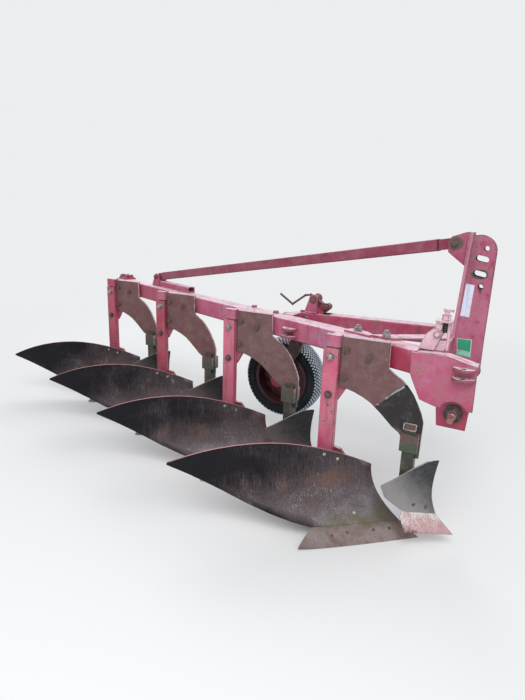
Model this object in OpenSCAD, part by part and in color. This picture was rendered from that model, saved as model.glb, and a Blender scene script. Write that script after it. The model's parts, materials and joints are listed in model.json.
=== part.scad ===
// Four-furrow mounted mouldboard plough, right-hand throw.
// +X is the way it travels, +Y is the unploughed land, +Z is up, millimetres.
// The origin is on the ground under the middle of the plough's outline.
// Each piece is drawn for the front body, with its share point near x = 0, y = 0,
// and is then set back by the body pitch and across by the furrow width.

/* [Layout] */
// distance between two bodies along the travel direction
body_pitch = 800; // [700:10:1000]
// furrow width cut by one body
furrow_w = 300; // [250:5:400]
// place of the plough's own zero in the outline's frame, along travel
shift_x = 1659; // [1500:1:1800]
// place of the plough's own zero in the outline's frame, across travel
shift_y = -278; // [-300:1:0]
// how far the cutting edges lie under the plough's own zero
dig = 8; // [0:1:20]

/* [Beams] */
// side of the square main beam
beam_side = 120; // [100:5:140]
// wall of the beams
beam_wall = 8; // [6:1:10]
// height of the main beam's underside
beam_z = 887; // [800:1:950]
// length of the main beam behind its zero point
beam_back = 2770; // [2600:10:2900]
// width of the land-side beam
side_beam_w = 90; // [70:5:110]
// height of the land-side beam and the front cross tube
side_beam_h = 110; // [90:5:120]

/* [Legs and brackets] */
// width of a leg bar, fore and aft
leg_w = 83; // [70:1:100]
// thickness of a leg bar
leg_t = 38; // [30:1:45]
// right-hand face of the legs
leg_y = -83; // [-95:1:-70]
// upper bolt of a leg
bolt_up_z = 915; // [880:1:940]
// lower bolt of a leg
bolt_low_z = 709; // [680:1:740]
// thickness of the bracket web behind a leg
web_t = 20; // [15:1:25]

/* [Bodies] */
// thickness of a mouldboard
board_t = 9; // [7:1:12]
// thickness of a share
share_t = 11; // [9:1:14]
// height of the seam between share and mouldboard
seam_z = 60; // [50:1:80]
// height of the front edge of the mouldboard
shin_z = 338; // [300:1:360]
// greatest height of the mouldboard's top edge
crest_z = 489; // [450:1:520]
// length of the mouldboard along its own surface
board_len = 1080; // [950:10:1150]

/* [Skimmers] */
// thickness of the curved skimmer arm
arm_t = 15; // [12:1:20]
// side of the square skimmer stalk
stalk_side = 60; // [50:1:70]
// thickness of the skimmer's small mouldboard
skim_t = 7; // [5:1:9]

/* [Hitch] */
// diameter of the lower hitch pins beside their collars
hitch_pin_d = 36.6; // [28:0.1:37]
// diameter of the outer step of the lower hitch pins
pin_end_d = 28.7; // [22:0.1:29]
// length of the thick step of a lower hitch pin
step_len = 45; // [40:1:60]
// whole length of a lower hitch pin
pin_len = 100; // [90:1:120]
// span between the shoulders of the lower pins, as measured
hitch_span = 860; // [683:1:965]
// lower pin axis along travel
pin_x = 139; // [120:1:160]
// lower pin axis in height
pin_z = 726; // [650:1:800]
// diameter of the top-link pin and height of its slots
top_pin_d = 32; // [25:0.1:33]
// diameter of the round holes in the mast
top_hole_d = 26; // [19:0.1:33]
// clear gap between the mast plates for the top link
mast_gap = 54; // [52:1:80]
// thickness of a mast plate
mast_t = 14; // [12:1:20]

/* [Depth wheel] */
// outside diameter of the tyre
tyre_d = 568; // [500:1:650]
// width of the tyre
tyre_w = 180; // [150:1:210]
// rim seat diameter
rim_d = 366; // [300:1:406]
// wheel centre along travel
wheel_x = -1085; // [-1150:1:-1000]
// middle plane of the tyre
wheel_y = 692; // [640:1:720]
// wheel centre in height
wheel_z = 496; // [430:1:580]
// pivot of the wheel arm along travel
pivot_x = -872; // [-900:1:-780]
// pivot of the wheel arm in height
pivot_z = 965; // [880:1:980]

/* [View] */
// which piece to show

/* [Hidden] */
red = [0.62, 0.17, 0.24];
dark_red = [0.45, 0.10, 0.14];
primer = [0.42, 0.28, 0.26];
rust = [0.30, 0.21, 0.20];
worn = [0.45, 0.40, 0.38];
steel = [0.50, 0.49, 0.50];
pink = [0.72, 0.50, 0.48];
rubber = [0.10, 0.11, 0.12];
white = [0.80, 0.84, 0.90];
green = [0.10, 0.50, 0.32];
org = [shift_x, shift_y, dig];
slant = atan(furrow_w / body_pitch);
// the main beam's own zero point, beside the front leg
beam_x0 = -402;
beam_y0 = 121;
beam_top = beam_z + beam_side;
web_y = leg_y + leg_t;
leg_x1 = -434;
leg_x0 = leg_x1 - leg_w;
side_z = beam_top - side_beam_h;
// front and rear faces of the cross tube
tube_x1 = 56;
tube_x0 = tube_x1 - 110;
pin_shoulder = -62;
mast_y = pin_shoulder + hitch_span / 2;
left_plate = pin_shoulder + hitch_span - 27;

function back(i) = [-body_pitch * i, furrow_w * i, 0];

module at_body(i) { translate(org + back(i)) children(); }
module at_org() { translate(org) children(); }

// a flat plate standing fore and aft, drawn as x and z, from y to y + t
module plate(y, t) {
  translate([0, y + t, 0]) rotate([90, 0, 0]) linear_extrude(t) children();
}
// a round bar across the plough
module bar_y(x, z, y0, y1, d, n = 32) {
  translate([x, y1, z]) rotate([90, 0, 0]) cylinder(h = y1 - y0, d = d, $fn = n);
}
module box(x0, x1, y0, y1, z0, z1) {
  translate([x0, y0, z0]) cube([x1 - x0, y1 - y0, z1 - z0]);
}
// main beam frame: x along the beam, y to its land side
module on_beam() { translate([beam_x0, beam_y0, 0]) rotate([0, 0, -slant]) children(); }
// outline of a rolled section, its lower side on the line z = 0
module rolled(w, h, r) {
  translate([-w / 2 + r, 0]) square([w - 2 * r, h]);
  translate([-w / 2, r]) square([w, h - 2 * r]);
  for (x = [-w / 2 + r, w / 2 - r]) for (z = [r, h - r])
    translate([x, z]) circle(r = r, $fn = 32);
}
module hollow(l, w, h, t) {
  rotate([90, 0, 90]) linear_extrude(l) difference() {
    rolled(w, h, t * 1.5);
    translate([0, t]) rolled(w - 2 * t, h - 2 * t, t * 0.5);
  }
}

// Body surfaces: level straight lines start on the front edge, at s = 0, and run
// back to the right at an angle that changes with height and a little with s.
function front_x(z) = 35 - 270 * (1 - pow(max(0, 1 - z / 340), 2.2));
function base_ang(z) = z < 100 ? 42 - z / 50 : 40 + (z - 100) * 0.010;
function ang(s, z) = base_ang(z) - 0.0085 * s * min(1, max(0, z / 150));
function surf(s, z) =
  [front_x(z) - s * cos(ang(s, z)), -s * sin(ang(s, z)), z];
function unit(v) = v / norm(v);
function surf_n(s, z) =
  unit(cross(surf(s + 1, z) - surf(s - 1, z), surf(s, z + 1) - surf(s, z - 1)));
function inside(s, z, t) = surf(s, z) + surf_n(s, z) * t;

// skimmer surface, the same idea on a small scale
SKIM_Z = [56, 102, 146, 217, 289, 365, 435, 450];
SKIM_X = [213, 163, 116, 88, 82, 88, 99, 101];
function skim_x(z) = lookup(z, [for (i = [0:7]) [SKIM_Z[i], SKIM_X[i]]]);
function skim_a(z) = 40 + 0.03 * (z - 60);
function skim(s, z) = [skim_x(z) - s * cos(skim_a(z)), 15 - s * sin(skim_a(z)), z];
function skim_n(s, z) =
  unit(cross(skim(s + 1, z) - skim(s - 1, z), skim(s, z + 8) - skim(s, z - 8)));
function skim_in(s, z, t) = skim(s, z) + skim_n(s, z) * t;

// a closed skin between a front and a back grid of points, rows of equal length
module skin(front, back) {
  m = len(front);
  n = len(front[0]);
  pts = concat([for (r = back) for (p = r) p], [for (r = front) for (p = r) p]);
  k = m * n;
  function v(i, j) = i * n + j;
  faces = concat(
    [for (i = [0:m - 2]) for (j = [0:n - 2]) each [
      [v(i, j), v(i, j + 1), v(i + 1, j + 1)],
      [v(i, j), v(i + 1, j + 1), v(i + 1, j)],
      [k + v(i, j), k + v(i + 1, j + 1), k + v(i, j + 1)],
      [k + v(i, j), k + v(i + 1, j), k + v(i + 1, j + 1)]]],
    [for (i = [0:m - 2]) each [
      [v(i, 0), v(i + 1, 0), k + v(i + 1, 0)],
      [v(i, 0), k + v(i + 1, 0), k + v(i, 0)],
      [v(i, n - 1), k + v(i + 1, n - 1), v(i + 1, n - 1)],
      [v(i, n - 1), k + v(i, n - 1), k + v(i + 1, n - 1)]]],
    [for (j = [0:n - 2]) each [
      [v(0, j), k + v(0, j + 1), v(0, j + 1)],
      [v(0, j), k + v(0, j), k + v(0, j + 1)],
      [v(m - 1, j), v(m - 1, j + 1), k + v(m - 1, j + 1)],
      [v(m - 1, j), k + v(m - 1, j + 1), k + v(m - 1, j)]]]);
  polyhedron(pts, faces);
}

// Main bodies

BOARD_S = [0, 50, 95, 145, 210, 300, 390, 480, 560, 640, 730, 820, 900, 970, 1025,
  1060, board_len];
BOARD_ROWS = 9;
function board_row(s, j, t) = inside(s, board_z(s, j / BOARD_ROWS), t);
BOARD_LOW = [[0, 60], [485, 60], [606, 95], [729, 150], [854, 236], [970, 297],
  [1040, 329], [board_len, 346]];
function top_z(s) = s < 560
  ? crest_z - (crest_z - shin_z) * pow((560 - s) / 560, 1.8)
  : crest_z - 134 * pow((s - 560) / 520, 2.1);
function low_z(s) = max(seam_z + 0.6, lookup(s, BOARD_LOW));
function board_z(s, u) = low_z(s) + (top_z(s) - low_z(s)) * u;

module mouldboard(i) {
  color(rust) at_body(i) skin(
    [for (s = BOARD_S) [for (j = [0:BOARD_ROWS]) board_row(s, j, 0)]],
    [for (s = BOARD_S) [for (j = [0:BOARD_ROWS]) board_row(s, j, board_t)]]);
}

// share: a wedge that is thin at the cutting edge, with its wing cut off aslant
function share_s(u, z) = u * (645 - (z + dig) * 2.38);
function share_z(u, z) = z + 12 * pow(u, 3) * (seam_z - z) / (seam_z + dig);
function share_back(z) = min(share_t, 1.5 + (z + dig) * 0.6);
SHARE_Z = [-dig, 4, 18, 38, seam_z];
function on_ground(p) = [p[0], p[1], max(p[2], -dig)];
module share(i) {
  color(worn) at_body(i) skin(
    [for (u = [0:0.125:1]) [for (z = SHARE_Z) surf(share_s(u, z), share_z(u, z))]],
    [for (u = [0:0.125:1]) [for (z = SHARE_Z)
      on_ground(inside(share_s(u, z), share_z(u, z), share_back(z)))]]);
}

// frog: curved seat under share and mouldboard, on a web that carries the leg
FROG_Z = [64, 80, 100, 140, 190, 240, 290];
function frog_x(z) = front_x(z) - 53 - (board_t + 11);
module frog(i) {
  color(dark_red) at_body(i) {
    skin([for (k = [1:5]) [for (j = [0:6]) board_row(BOARD_S[k], j, board_t + 0.3)]],
      [for (k = [1:5]) [for (j = [0:6]) board_row(BOARD_S[k], j, board_t + 14)]]);
    plate(web_y, 20) polygon(concat([for (z = FROG_Z) [frog_x(z), z]],
      [[-400, 400], [leg_x0, 420], [leg_x0, 64]]));
    plate(web_y + 20, 10) polygon([[-50, -2], [-118, 55], [-155, 88], [-215, 110],
      [-520, 110], [-520, -2]]);
  }
}

module landsides() {
  color(rust) for (i = [0:3]) at_body(i)
    plate(-14.6, 14) polygon([[0, -dig], [-20, 4], [-72, 38], [-104, 60],
      [-120, 76], [-171, 118], [-620, 118], [-640, 100], [-640, -dig]]);
}

module leg(i) {
  color(red) at_body(i) difference() {
    box(leg_x0, leg_x1, leg_y, web_y, 130, 960);
    for (z = [bolt_low_z, bolt_up_z])
      bar_y(leg_x0 + leg_w / 2, z, leg_y - 1, web_y + 1, 21);
  }
}

// bracket: web behind the leg, stop block over it, and the wedge to the beam
module bracket(i) {
  face = beam_side / 2 + 0.1;
  color(red) at_body(i) {
    difference() {
      plate(web_y, web_t) polygon([[leg_x0, beam_top + 12], [-190, beam_top + 12],
        [-190, 905], [-392, 748], [-438, 668], [leg_x0, 668]]);
      for (z = [bolt_low_z, bolt_up_z])
        bar_y(leg_x0 + leg_w / 2, z, web_y - 1, web_y + web_t + 1, 21);
      for (p = [[-399, 957], [-283, 933], [-404, 810]])
        bar_y(p[0], p[1], web_y - 1, web_y + web_t + 1, 17);
      translate(-back(i)) on_beam()
        box(-4000, 1000, -face, face, beam_z - 1, beam_top + 30);
    }
    box(leg_x0 + 6, leg_x1 + 5.8, leg_y, web_y, 965, 1028);
    for (z = [beam_z, beam_top - 15]) difference() {
      box(leg_x0, -190, web_y + web_t, 140, z, z + 15);
      translate(-back(i)) on_beam() box(-4000, 1000, -face, 400, z - 1, z + 16);
    }
  }
}

// Skimmers

module skimmer_arm(i) {
  s = stalk_side + 1;
  h = stalk_side / 2 + 13;
  color(primer) at_body(i) difference() {
    union() {
      plate(web_y - arm_t, arm_t) polygon([[-428, 1020], [-183, 1020], [-180, 893],
        [-145, 867], [-108, 845], [-78, 815], [-50, 780], [-25, 735], [-3, 690],
        [11, 648], [10, 560], [8, 460], [-14, 456], [-20, 500], [-90, 560],
        [-103, 576], [-138, 598], [-163, 622], [-203, 658], [-255, 700],
        [-300, 723], [-345, 740], [-392, 752], [-428, 757]]);
      box(stalk_x - h, stalk_x + h, stalk_y - h, stalk_y + h, 495, 584);
    }
    for (p = [[-399, 957], [-283, 933], [-404, 810]])
      bar_y(p[0], p[1], web_y - arm_t - 1, web_y + 1, 17);
    translate([stalk_x, stalk_y, 0]) box(-s / 2, s / 2, -s / 2, s / 2, 400, stalk_top + 1);
  }
}
stalk_x = -41;
stalk_y = -50;
stalk_top = 606;

// stalk with a curved seat for the small mouldboard, joined by a web
SEAT_S = [40, 75, 110, 150];
function skim_row(s, j, t) = skim_in(s, skim_low(s) + (skim_top(s) - skim_low(s)) * j / 7, t);
function seat_x(z) = skim((15 - stalk_y) / sin(skim_a(z)), z)[0]
  - (skim_t + 7) / sin(skim_a(z)) - 2;
module skimmer_stalks() {
  h = stalk_side / 2;
  color(primer) for (i = [0:3]) at_body(i) {
    translate([stalk_x, stalk_y, 0]) {
      box(-h, h, -h, h, 350, stalk_top);
      box(-h, h - 20, 5 - h, h - 5, 175, 350);
    }
    plate(stalk_y - 6, 12) polygon(concat([for (z = [185:35:395]) [seat_x(z), z]],
      [[stalk_x, 395], [stalk_x, 185]]));
    skin([for (s = SEAT_S) [for (j = [0:5]) skim_row(s, j, skim_t + 0.3)]],
      [for (s = SEAT_S) [for (j = [0:5]) skim_row(s, j, skim_t + 11)]]);
  }
}

SKIM_S = [0, 40, 75, 110, 150, 190, 231, 275, 312];
function skim_top(s) = lookup(s, [[0, 441], [72, 447], [151, 421], [231, 383],
  [312, 348]]);
function skim_low(s) = lookup(s, [[0, 147], [178, 178], [214, 213], [274, 270],
  [312, 338]]);
module skimmer_board(i) {
  color(steel) at_body(i) skin(
    [for (s = SKIM_S) [for (j = [0:7]) skim_row(s, j, 0)]],
    [for (s = SKIM_S) [for (j = [0:7]) skim_row(s, j, skim_t)]]);
}

// skimmer share: its upper edge follows the board's lower edge
function tip_s(u, w) = u * (238 - 55 * w);
function tip_z(u, w) =
  (56 + 30 * u) * (1 - w) + (skim_low(tip_s(u, 1)) - 0.5) * w;
module skimmer_shares() {
  W = [0, 0.3, 0.65, 1];
  color(pink) for (i = [0:3]) at_body(i) skin(
    [for (u = [0:0.2:1]) [for (w = W) skim(tip_s(u, w), tip_z(u, w))]],
    [for (u = [0:0.2:1]) [for (w = W) skim_in(tip_s(u, w), tip_z(u, w), 2 + 5 * w)]]);
}

// Frame

module main_beam() {
  color(red) at_org() difference() {
    on_beam() translate([-beam_back, 0, beam_z])
      hollow(beam_back + 560, beam_side, beam_side, beam_wall);
    box(tube_x0 - 0.1, 500, -400, 400, beam_z - 5, beam_top + 5);
    box(-300, 500, -400, -64.9, beam_z - 5, beam_top + 5);
  }
}

// land-side beam, open above and below its rear end where the wheel arm swings
side_turn = 5.68;
side_right = 515;
module on_side_beam() {
  translate([-945, side_right - 3.1, 0]) rotate([0, 0, side_turn])
    translate([0, side_beam_w / 2, 0]) children();
}
module side_beam() {
  w = side_beam_w / 2 - beam_wall;
  color(red) at_org() difference() {
    on_side_beam() translate([0, 0, side_z]) hollow(960, side_beam_w, side_beam_h, beam_wall);
    box(tube_x0 - 0.1, 100, 400, 800, side_z - 5, beam_top + 5);
    on_side_beam() box(-5, 222, -w, w, beam_top - 20, beam_top + 5);
    on_side_beam() box(-5, 130, -w, w, side_z - 5, side_z + 20);
    bar_y(pivot_x, pivot_z, 500, 640, pin_d + 0.2, 48);
  }
}

module cross_tube() {
  color(red) at_org() translate([(tube_x0 + tube_x1) / 2, 0.2, side_z]) rotate([0, 0, 90])
    hollow(left_plate - 0.2, 110, side_beam_h, beam_wall);
}

// box between the two beams, with a gusset along the main beam behind it
module rear_cross() {
  w = side_beam_w / 2;
  color(red) at_org() difference() {
    union() {
      for (z = [side_z, beam_top - 10]) linear_extrude_at(z, 10)
        polygon([[-987, 200], [-987, 458], [-945, 512], [-905, 560], [-905, 200]]);
      linear_extrude_at(side_z + 10, side_beam_h - 20) {
        polygon([[-987, 200], [-987, 458], [-945, 512], [-945, 497], [-977, 455],
          [-977, 200]]);
        polygon([[-915, 200], [-915, 560], [-905, 560], [-905, 200]]);
      }
      linear_extrude_at(beam_top - 26, 12) polygon([[-987, 200], [-987, 450],
        [-1090, 400], [-1090, 200]]);
    }
    on_beam() box(-4000, 1000, -400, beam_side / 2 + 0.1, side_z - 1, beam_top + 1);
    on_side_beam() box(-100, 950, -w - 0.1, 300, side_z - 1, beam_top + 1);
  }
}

// hitch side plate: outer and inner cheek with a strip welded along the top
module side_plate() {
  color(red) at_org() {
    difference() {
      plate(-80, 15) polygon([[-80, 999], [90, 1002], [219, 972], [223, 757],
        [60, 752], [-18, 774], [-74, 893]]);
      bar_y(pin_x, pin_z + 1, -90, -60, 130, 48);
    }
    plate(-15, 15) polygon([[tube_x0, 987], [88, 990], [207, 962], [209, 800],
      [60, 800], [tube_x0, 850]]);
    plate(-65, 65) polygon([[tube_x0, 999], [90, 1002], [219, 972], [219, 962],
      [88, 990], [tube_x0, 987]]);
  }
}

module hitch_plate_right() {
  color(red) at_org() difference() {
    plate(-50, 20) polygon([[57, 900], [57, 748], [69, 651], [200, 650], [206, 745],
      [200, 900]]);
    bar_y(pin_x, pin_z, -60, 0, hitch_pin_d + 14, 48);
  }
}

module hitch_plate_left() {
  color(red) at_org() difference() {
    plate(left_plate, 15) {
      translate([pin_x, pin_z]) circle(r = 42, $fn = 64);
      polygon([[tube_x0, side_z], [98, pin_z - 9], [180, pin_z + 8], [150, side_z],
        [110, beam_top], [tube_x0, beam_top]]);
    }
    bar_y(pin_x, pin_z, left_plate - 5, left_plate + 20, hitch_pin_d + 14, 48);
  }
}

// lower hitch shaft with a collar and a pin at each end
module hitch_shaft() {
  y1 = pin_shoulder + hitch_span;
  color(steel) at_org() difference() {
    union() {
      bar_y(pin_x, pin_z, -50, left_plate + 15, hitch_pin_d + 14, 48);
      for (y = [pin_shoulder, y1 - 12]) bar_y(pin_x, pin_z, y, y + 12, 86, 48);
      bar_y(pin_x, pin_z, pin_shoulder - step_len, pin_shoulder, hitch_pin_d, 48);
      bar_y(pin_x, pin_z, y1, y1 + step_len, hitch_pin_d, 48);
      bar_y(pin_x, pin_z, pin_shoulder - pin_len, pin_shoulder - step_len, pin_end_d, 48);
      bar_y(pin_x, pin_z, y1 + step_len, y1 + pin_len, pin_end_d, 48);
    }
    for (y = [pin_shoulder - pin_len + 12, y1 + pin_len - 12])
      translate([pin_x, y, pin_z - 30]) cylinder(h = 60, d = 11, $fn = 24);
  }
}

// mast: two plates notched over the cross tube, with slots for the top link, on
// the front of a thick web that leans forward, and two ears for the strut
mast_lean = 0.0493;
mast_top = 1555;
function mast_rear(z) = 58 + (z - 997) * mast_lean;
module link_slot(x, z, turn, l, d) {
  translate([x, z]) rotate(turn) {
    square([l, d], center = true);
    for (k = [-l / 2, l / 2]) translate([k, 0]) circle(d = d, $fn = 48);
  }
}
module mast_profile() {
  difference() {
    union() {
      polygon([[tube_x1 + 0.1, 842], [200, 842], [198, 1012], [mast_x + 85, mast_z],
        [mast_rear(mast_z), mast_z], [mast_rear(1007), 1007], [tube_x1 + 0.1, 1007]]);
      intersection() {
        translate([mast_x, mast_z]) circle(r = 85, $fn = 64);
        polygon([[mast_rear(mast_z), mast_z], [mast_x + 86, mast_z],
          [mast_x + 86, mast_z + 86], [mast_rear(mast_z + 86), mast_z + 86]]);
      }
    }
    for (p = TOP_HOLES) translate(p) circle(d = top_hole_d, $fn = 48);
    for (p = TOP_SLOTS) link_slot(p[0], p[1], p[2], 32, top_pin_d);
  }
}
module mast() {
  y0 = mast_y - mast_gap / 2;
  color(red) at_org() {
    for (y = [y0 - mast_t, y0 + mast_gap]) plate(y, mast_t) mast_profile();
    plate(y0 - mast_t - 1.5, mast_gap + 2 * mast_t + 3) polygon([
      [mast_rear(beam_top) - web_thick, beam_top], [mast_rear(beam_top), beam_top],
      [mast_rear(mast_top), mast_top], [mast_rear(mast_top) - web_thick, mast_top]]);
    for (y = [y0 - 12, y0 + mast_gap]) difference() {
      plate(y, 12) polygon([[mast_rear(1386) - web_thick, 1386],
        [mast_rear(mast_top) - web_thick, mast_top], [50, mast_top], [-18, 1530],
        [-34, 1502], [-28, 1451], [9, 1423]]);
      bar_y(strut_a[0], strut_a[2], y - 5, y + 20, 25.2);
    }
    bar_y(strut_a[0], strut_a[2], mast_y - 52, mast_y + 52, 25);
  }
}
mast_x = 114;
mast_z = 1459;
web_thick = 18;
// top link positions: round holes as x and z, slots with their slope too
TOP_HOLES = [[153, 1479], [149, 1287]];
TOP_SLOTS = [[139, 1426, -11], [137, 1350, -12]];

// strut: rectangular tube from the mast back to the main beam
strut_a = [0, mast_y, 1497];
foot_c = 30;
foot_x = -2130;
strut_b = [beam_x0 + foot_x * cos(slant) + foot_c * sin(slant),
  beam_y0 - foot_x * sin(slant) + foot_c * cos(slant), 1084];
module strut() {
  d = strut_a - strut_b;
  l = norm(d);
  color(red) at_org() difference() {
    translate(strut_b) rotate([0, 0, atan2(d[1], d[0])]) rotate([0, -asin(d[2] / l), 0]) {
      translate([60, 0, -31]) hollow(l - 150, 50, 62, 5);
      for (x = [0, l]) {
        translate([x, 12, 0]) rotate([90, 0, 0]) cylinder(h = 24, d = 56, $fn = 32);
        translate([x == 0 ? 0 : l - 90, -12, -28]) cube([x == 0 ? 60 : 90, 24, 56]);
      }
    }
    bar_y(strut_a[0], strut_a[2], strut_a[1] - 50, strut_a[1] + 50, 25.6);
    on_beam() bar_y(foot_x, strut_b[2], foot_c - 50, foot_c + 50, 25.6);
  }
}

// foot of the strut: a tube lying on the main beam with two lugs at its rear end
module strut_foot() {
  color(red) at_org() on_beam() {
    translate([foot_x + 45, foot_c, beam_top]) hollow(430, 60, 45, 6);
    for (y = [foot_c - 34, foot_c + 22]) difference() {
      plate(y, 12) {
        polygon([[foot_x - 70, beam_top], [foot_x + 44.9, beam_top],
          [foot_x + 44.9, beam_top + 44], [foot_x + 20, strut_b[2] + 19],
          [foot_x - 20, strut_b[2] + 19], [foot_x - 60, beam_top + 30]]);
        translate([foot_x, strut_b[2]]) circle(r = 28, $fn = 48);
      }
      bar_y(foot_x, strut_b[2], foot_c - 60, foot_c + 60, 25.2);
    }
    bar_y(foot_x, strut_b[2], foot_c - 42, foot_c + 42, 25);
  }
}

// foot plate bolted on the main beam, and a flat bar from it to the cross tube
module brace_bar() {
  color(red) at_org() {
    linear_extrude_at(beam_top, 12) polygon([[-339, 83], [-208, 63], [38, 243],
      [38, 363]]);
    on_beam() linear_extrude_at(beam_top, 12) polygon([[-75, -30], [92, -30],
      [92, 8], [30, 40], [-75, 40]]);
  }
}
module linear_extrude_at(z, h) { translate([0, 0, z]) linear_extrude(h) children(); }

// front adjuster: two leaning plates with a pivot, a yoke plate and its spindle
module adjuster() {
  cheek = [[-60, beam_top], [12, beam_top], [43, 1091], [30, 1106], [12, 1111],
    [-6, 1107], [-35, 1080]];
  color(red) at_org() {
    for (y = [-16, 40]) plate(y, 12) polygon(cheek);
    bar_y(20, 1088, -22, 58, 26);
    box(4, 79, -16, 52, 1144, 1152);
    plate(-4, 44) polygon([[7, 1070], [35, 1070], [35, 1144], [7, 1144]]);
    translate([47, 18, 1152]) cylinder(h = 26, d = 42, $fn = 6);
    translate([47, 18, 1178]) cylinder(h = 16, d = 24, $fn = 32);
    box(30, 76, 10, 26, 1194, 1204);
    box(60, 74, 8, 28, beam_top, 1144);
  }
}

// pairs of half-round lugs with a hole for a draw chain or a marker
LUG = [["side", 165, -80.1, 0], ["beam", -454, -60.1, 1]];
module lug_pair() {
  for (z = [902, 949]) difference() {
    intersection() {
      translate([0, 0, z]) cylinder(h = 14, r = 51, $fn = 64);
      box(-60, 60, -60, 0, z - 1, z + 15);
    }
    translate([0, -28, z - 1]) cylinder(h = 16, d = 22, $fn = 32);
  }
}
module lugs() {
  color(red) at_org() {
    translate([LUG[0][1], LUG[0][2], 0]) lug_pair();
    on_beam() translate([LUG[1][1], LUG[1][2], 0]) lug_pair();
  }
}

// plate on the rear end of the main beam
module rear_plate() {
  color(red) at_org() on_beam() {
    box(-2745, -2615, -45, 55, beam_top, beam_top + 14);
    box(-2745, -2615, -10, 2, beam_top + 14, beam_top + 40);
  }
}

// pivot pin of the wheel arm and the two plates that carry the depth spindle
trunnion = [-838, 1098];
module wheel_bracket() {
  color(red) at_org() {
    for (y = [526, 602]) difference() {
      plate(y, 12) union() {
        polygon([[-897, beam_top], [-808, beam_top], [-810, 1100], [-864, 1104]]);
        translate(trunnion) circle(r = 28, $fn = 48);
      }
      bar_y(trunnion[0], trunnion[1], y - 1, y + 13, 40.1, 48);
    }
    bar_y(pivot_x, pivot_z, 512, 618, pin_d, 48);
    bar_y(pivot_x, pivot_z, 505, 512, pin_d + 12, 48);
  }
}

eye = [-754, 1051];
rod_y = 570;
// depth spindle with its trunnion, rod eye and crank handle
module depth_spindle() {
  d = trunnion - eye;
  l = norm(d);
  a = atan2(d[1], d[0]);
  color(dark_red) at_org() {
    bar_y(trunnion[0], trunnion[1], 516, 622, 40, 48);
    translate([eye[0], rod_y, eye[1]]) rotate([0, -a, 0]) {
      translate([19, 0, 0]) rotate([0, 90, 0]) cylinder(h = l - 38, d = 20, $fn = 32);
      translate([l + 18, 0, 0]) rotate([0, 90, 0]) cylinder(h = 26, d = 20, $fn = 32);
    }
    difference() {
      bar_y(eye[0], eye[1], rod_y - 10, rod_y + 10, 42, 48);
      bar_y(eye[0], eye[1], rod_y - 11, rod_y + 11, 25, 48);
    }
    for (p = [[[-874, 1118], [-911, 1112]], [[-911, 1112], [-1001, 1044]],
      [[-1001, 1044], [-1093, 1104]]]) rod_xz(p[0], p[1], rod_y, 14);
    for (p = [[-911, 1112], [-1001, 1044], [-874, 1118]]) translate([p[0], rod_y, p[1]])
      sphere(d = 17, $fn = 24);
  }
}
// a round rod between two points of one fore-and-aft plane
module rod_xz(a, b, y, d) {
  v = b - a;
  translate([a[0], y, a[1]]) rotate([0, 90 - atan2(v[1], v[0]), 0])
    cylinder(h = norm(v), d = d, $fn = 24);
}

module sign_plates() {
  y = mast_y - mast_gap / 2 - mast_t - 1.6;
  color(white) at_org() plate(y, 1.5) polygon([[71, 1130], [116, 1126], [121, 1294],
    [79, 1299]]);
  color(green) at_org() plate(y, 1.5) polygon([[76, 922], [150, 916], [145, 1012],
    [71, 1010]]);
}

// arm of the depth wheel, drawn along the line from its pivot to the hub
module wheel_arm() {
  dx = wheel_x - pivot_x;
  dz = wheel_z - pivot_z;
  l = norm([dx, dz]);
  a = atan2(dz, dx);
  color(dark_red) at_org() {
    difference() {
      union() {
        bar_y(pivot_x, pivot_z, 545, 595, 64, 48);
        translate([pivot_x, 590, pivot_z]) rotate([90, 0, 0]) linear_extrude(42) {
          rotate(a) polygon([[0, -30], [90, -42], [l, -44], [l, 44], [90, 42], [0, 30]]);
          translate([dx, dz]) circle(r = 44, $fn = 64);
        }
        for (y = [545, 586]) plate(y, 9) {
          polygon(concat([for (s = [-1, 1]) [pivot_x, pivot_z] + s * 24 * lever_n],
            [for (s = [1, -1]) eye + s * 22 * lever_n]));
          translate(eye) circle(r = 22, $fn = 48);
        }
      }
      bar_y(pivot_x, pivot_z, 500, 640, pin_d + 0.1, 48);
    }
    bar_y(eye[0], eye[1], 540.5, 545, 36, 48);
    bar_y(wheel_x, wheel_z, 590, wheel_y + 66, axle_d, 48);
    bar_y(wheel_x, wheel_z, 590, 600, axle_d + 24, 48);
  }
}
pin_d = 30;
axle_d = 50;
lever = (eye - [pivot_x, pivot_z]) / norm(eye - [pivot_x, pivot_z]);
lever_n = [-lever[1], lever[0]];

module turned(y) { translate([0, y, 0]) rotate([90, 0, 0]) rotate_extrude($fn = 96) children(); }

// wheel: profiles are drawn as radius and height along the axle
module wheel_rim() {
  r = rim_d / 2;
  color(red) at_org() translate([wheel_x, wheel_y, wheel_z]) difference() {
    turned(0) {
      polygon([[r - 8, -80], [r + 14, -80], [r + 14, -74], [r, -74], [r, 74], [r + 14, 74],
        [r + 14, 80], [r - 8, 80], [r - 8, 10], [120, 26], [55, 26], [55, 62],
        [axle_d / 2 + 0.05, 62], [axle_d / 2 + 0.05, -56], [46, -56], [55, 14], [118, 14],
        [r - 8, -4]]);
    }
    for (i = [0:5]) rotate([0, i * 60 + 30, 0]) translate([85, 0, 0])
      rotate([90, 0, 0]) cylinder(h = 200, d = 18, center = true, $fn = 24);
  }
}
module tyre() {
  r = rim_d / 2;
  R = tyre_d / 2;
  w = tyre_w / 2;
  color(rubber) at_org() translate([wheel_x, wheel_y, wheel_z]) turned(0)
    polygon([[r + 0.3, -73.6], [r + 16, -73.6], [r + 30, -w + 4], [r + 52, -w],
      [R - 26, -w + 3], [R - 9, -w + 14], [R - 2, -w + 34], [R, -24], [R, 24],
      [R - 2, w - 34], [R - 9, w - 14], [R - 26, w - 3], [r + 52, w],
      [r + 30, w - 4], [r + 16, 73.6], [r + 0.3, 73.6]]);
}

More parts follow.
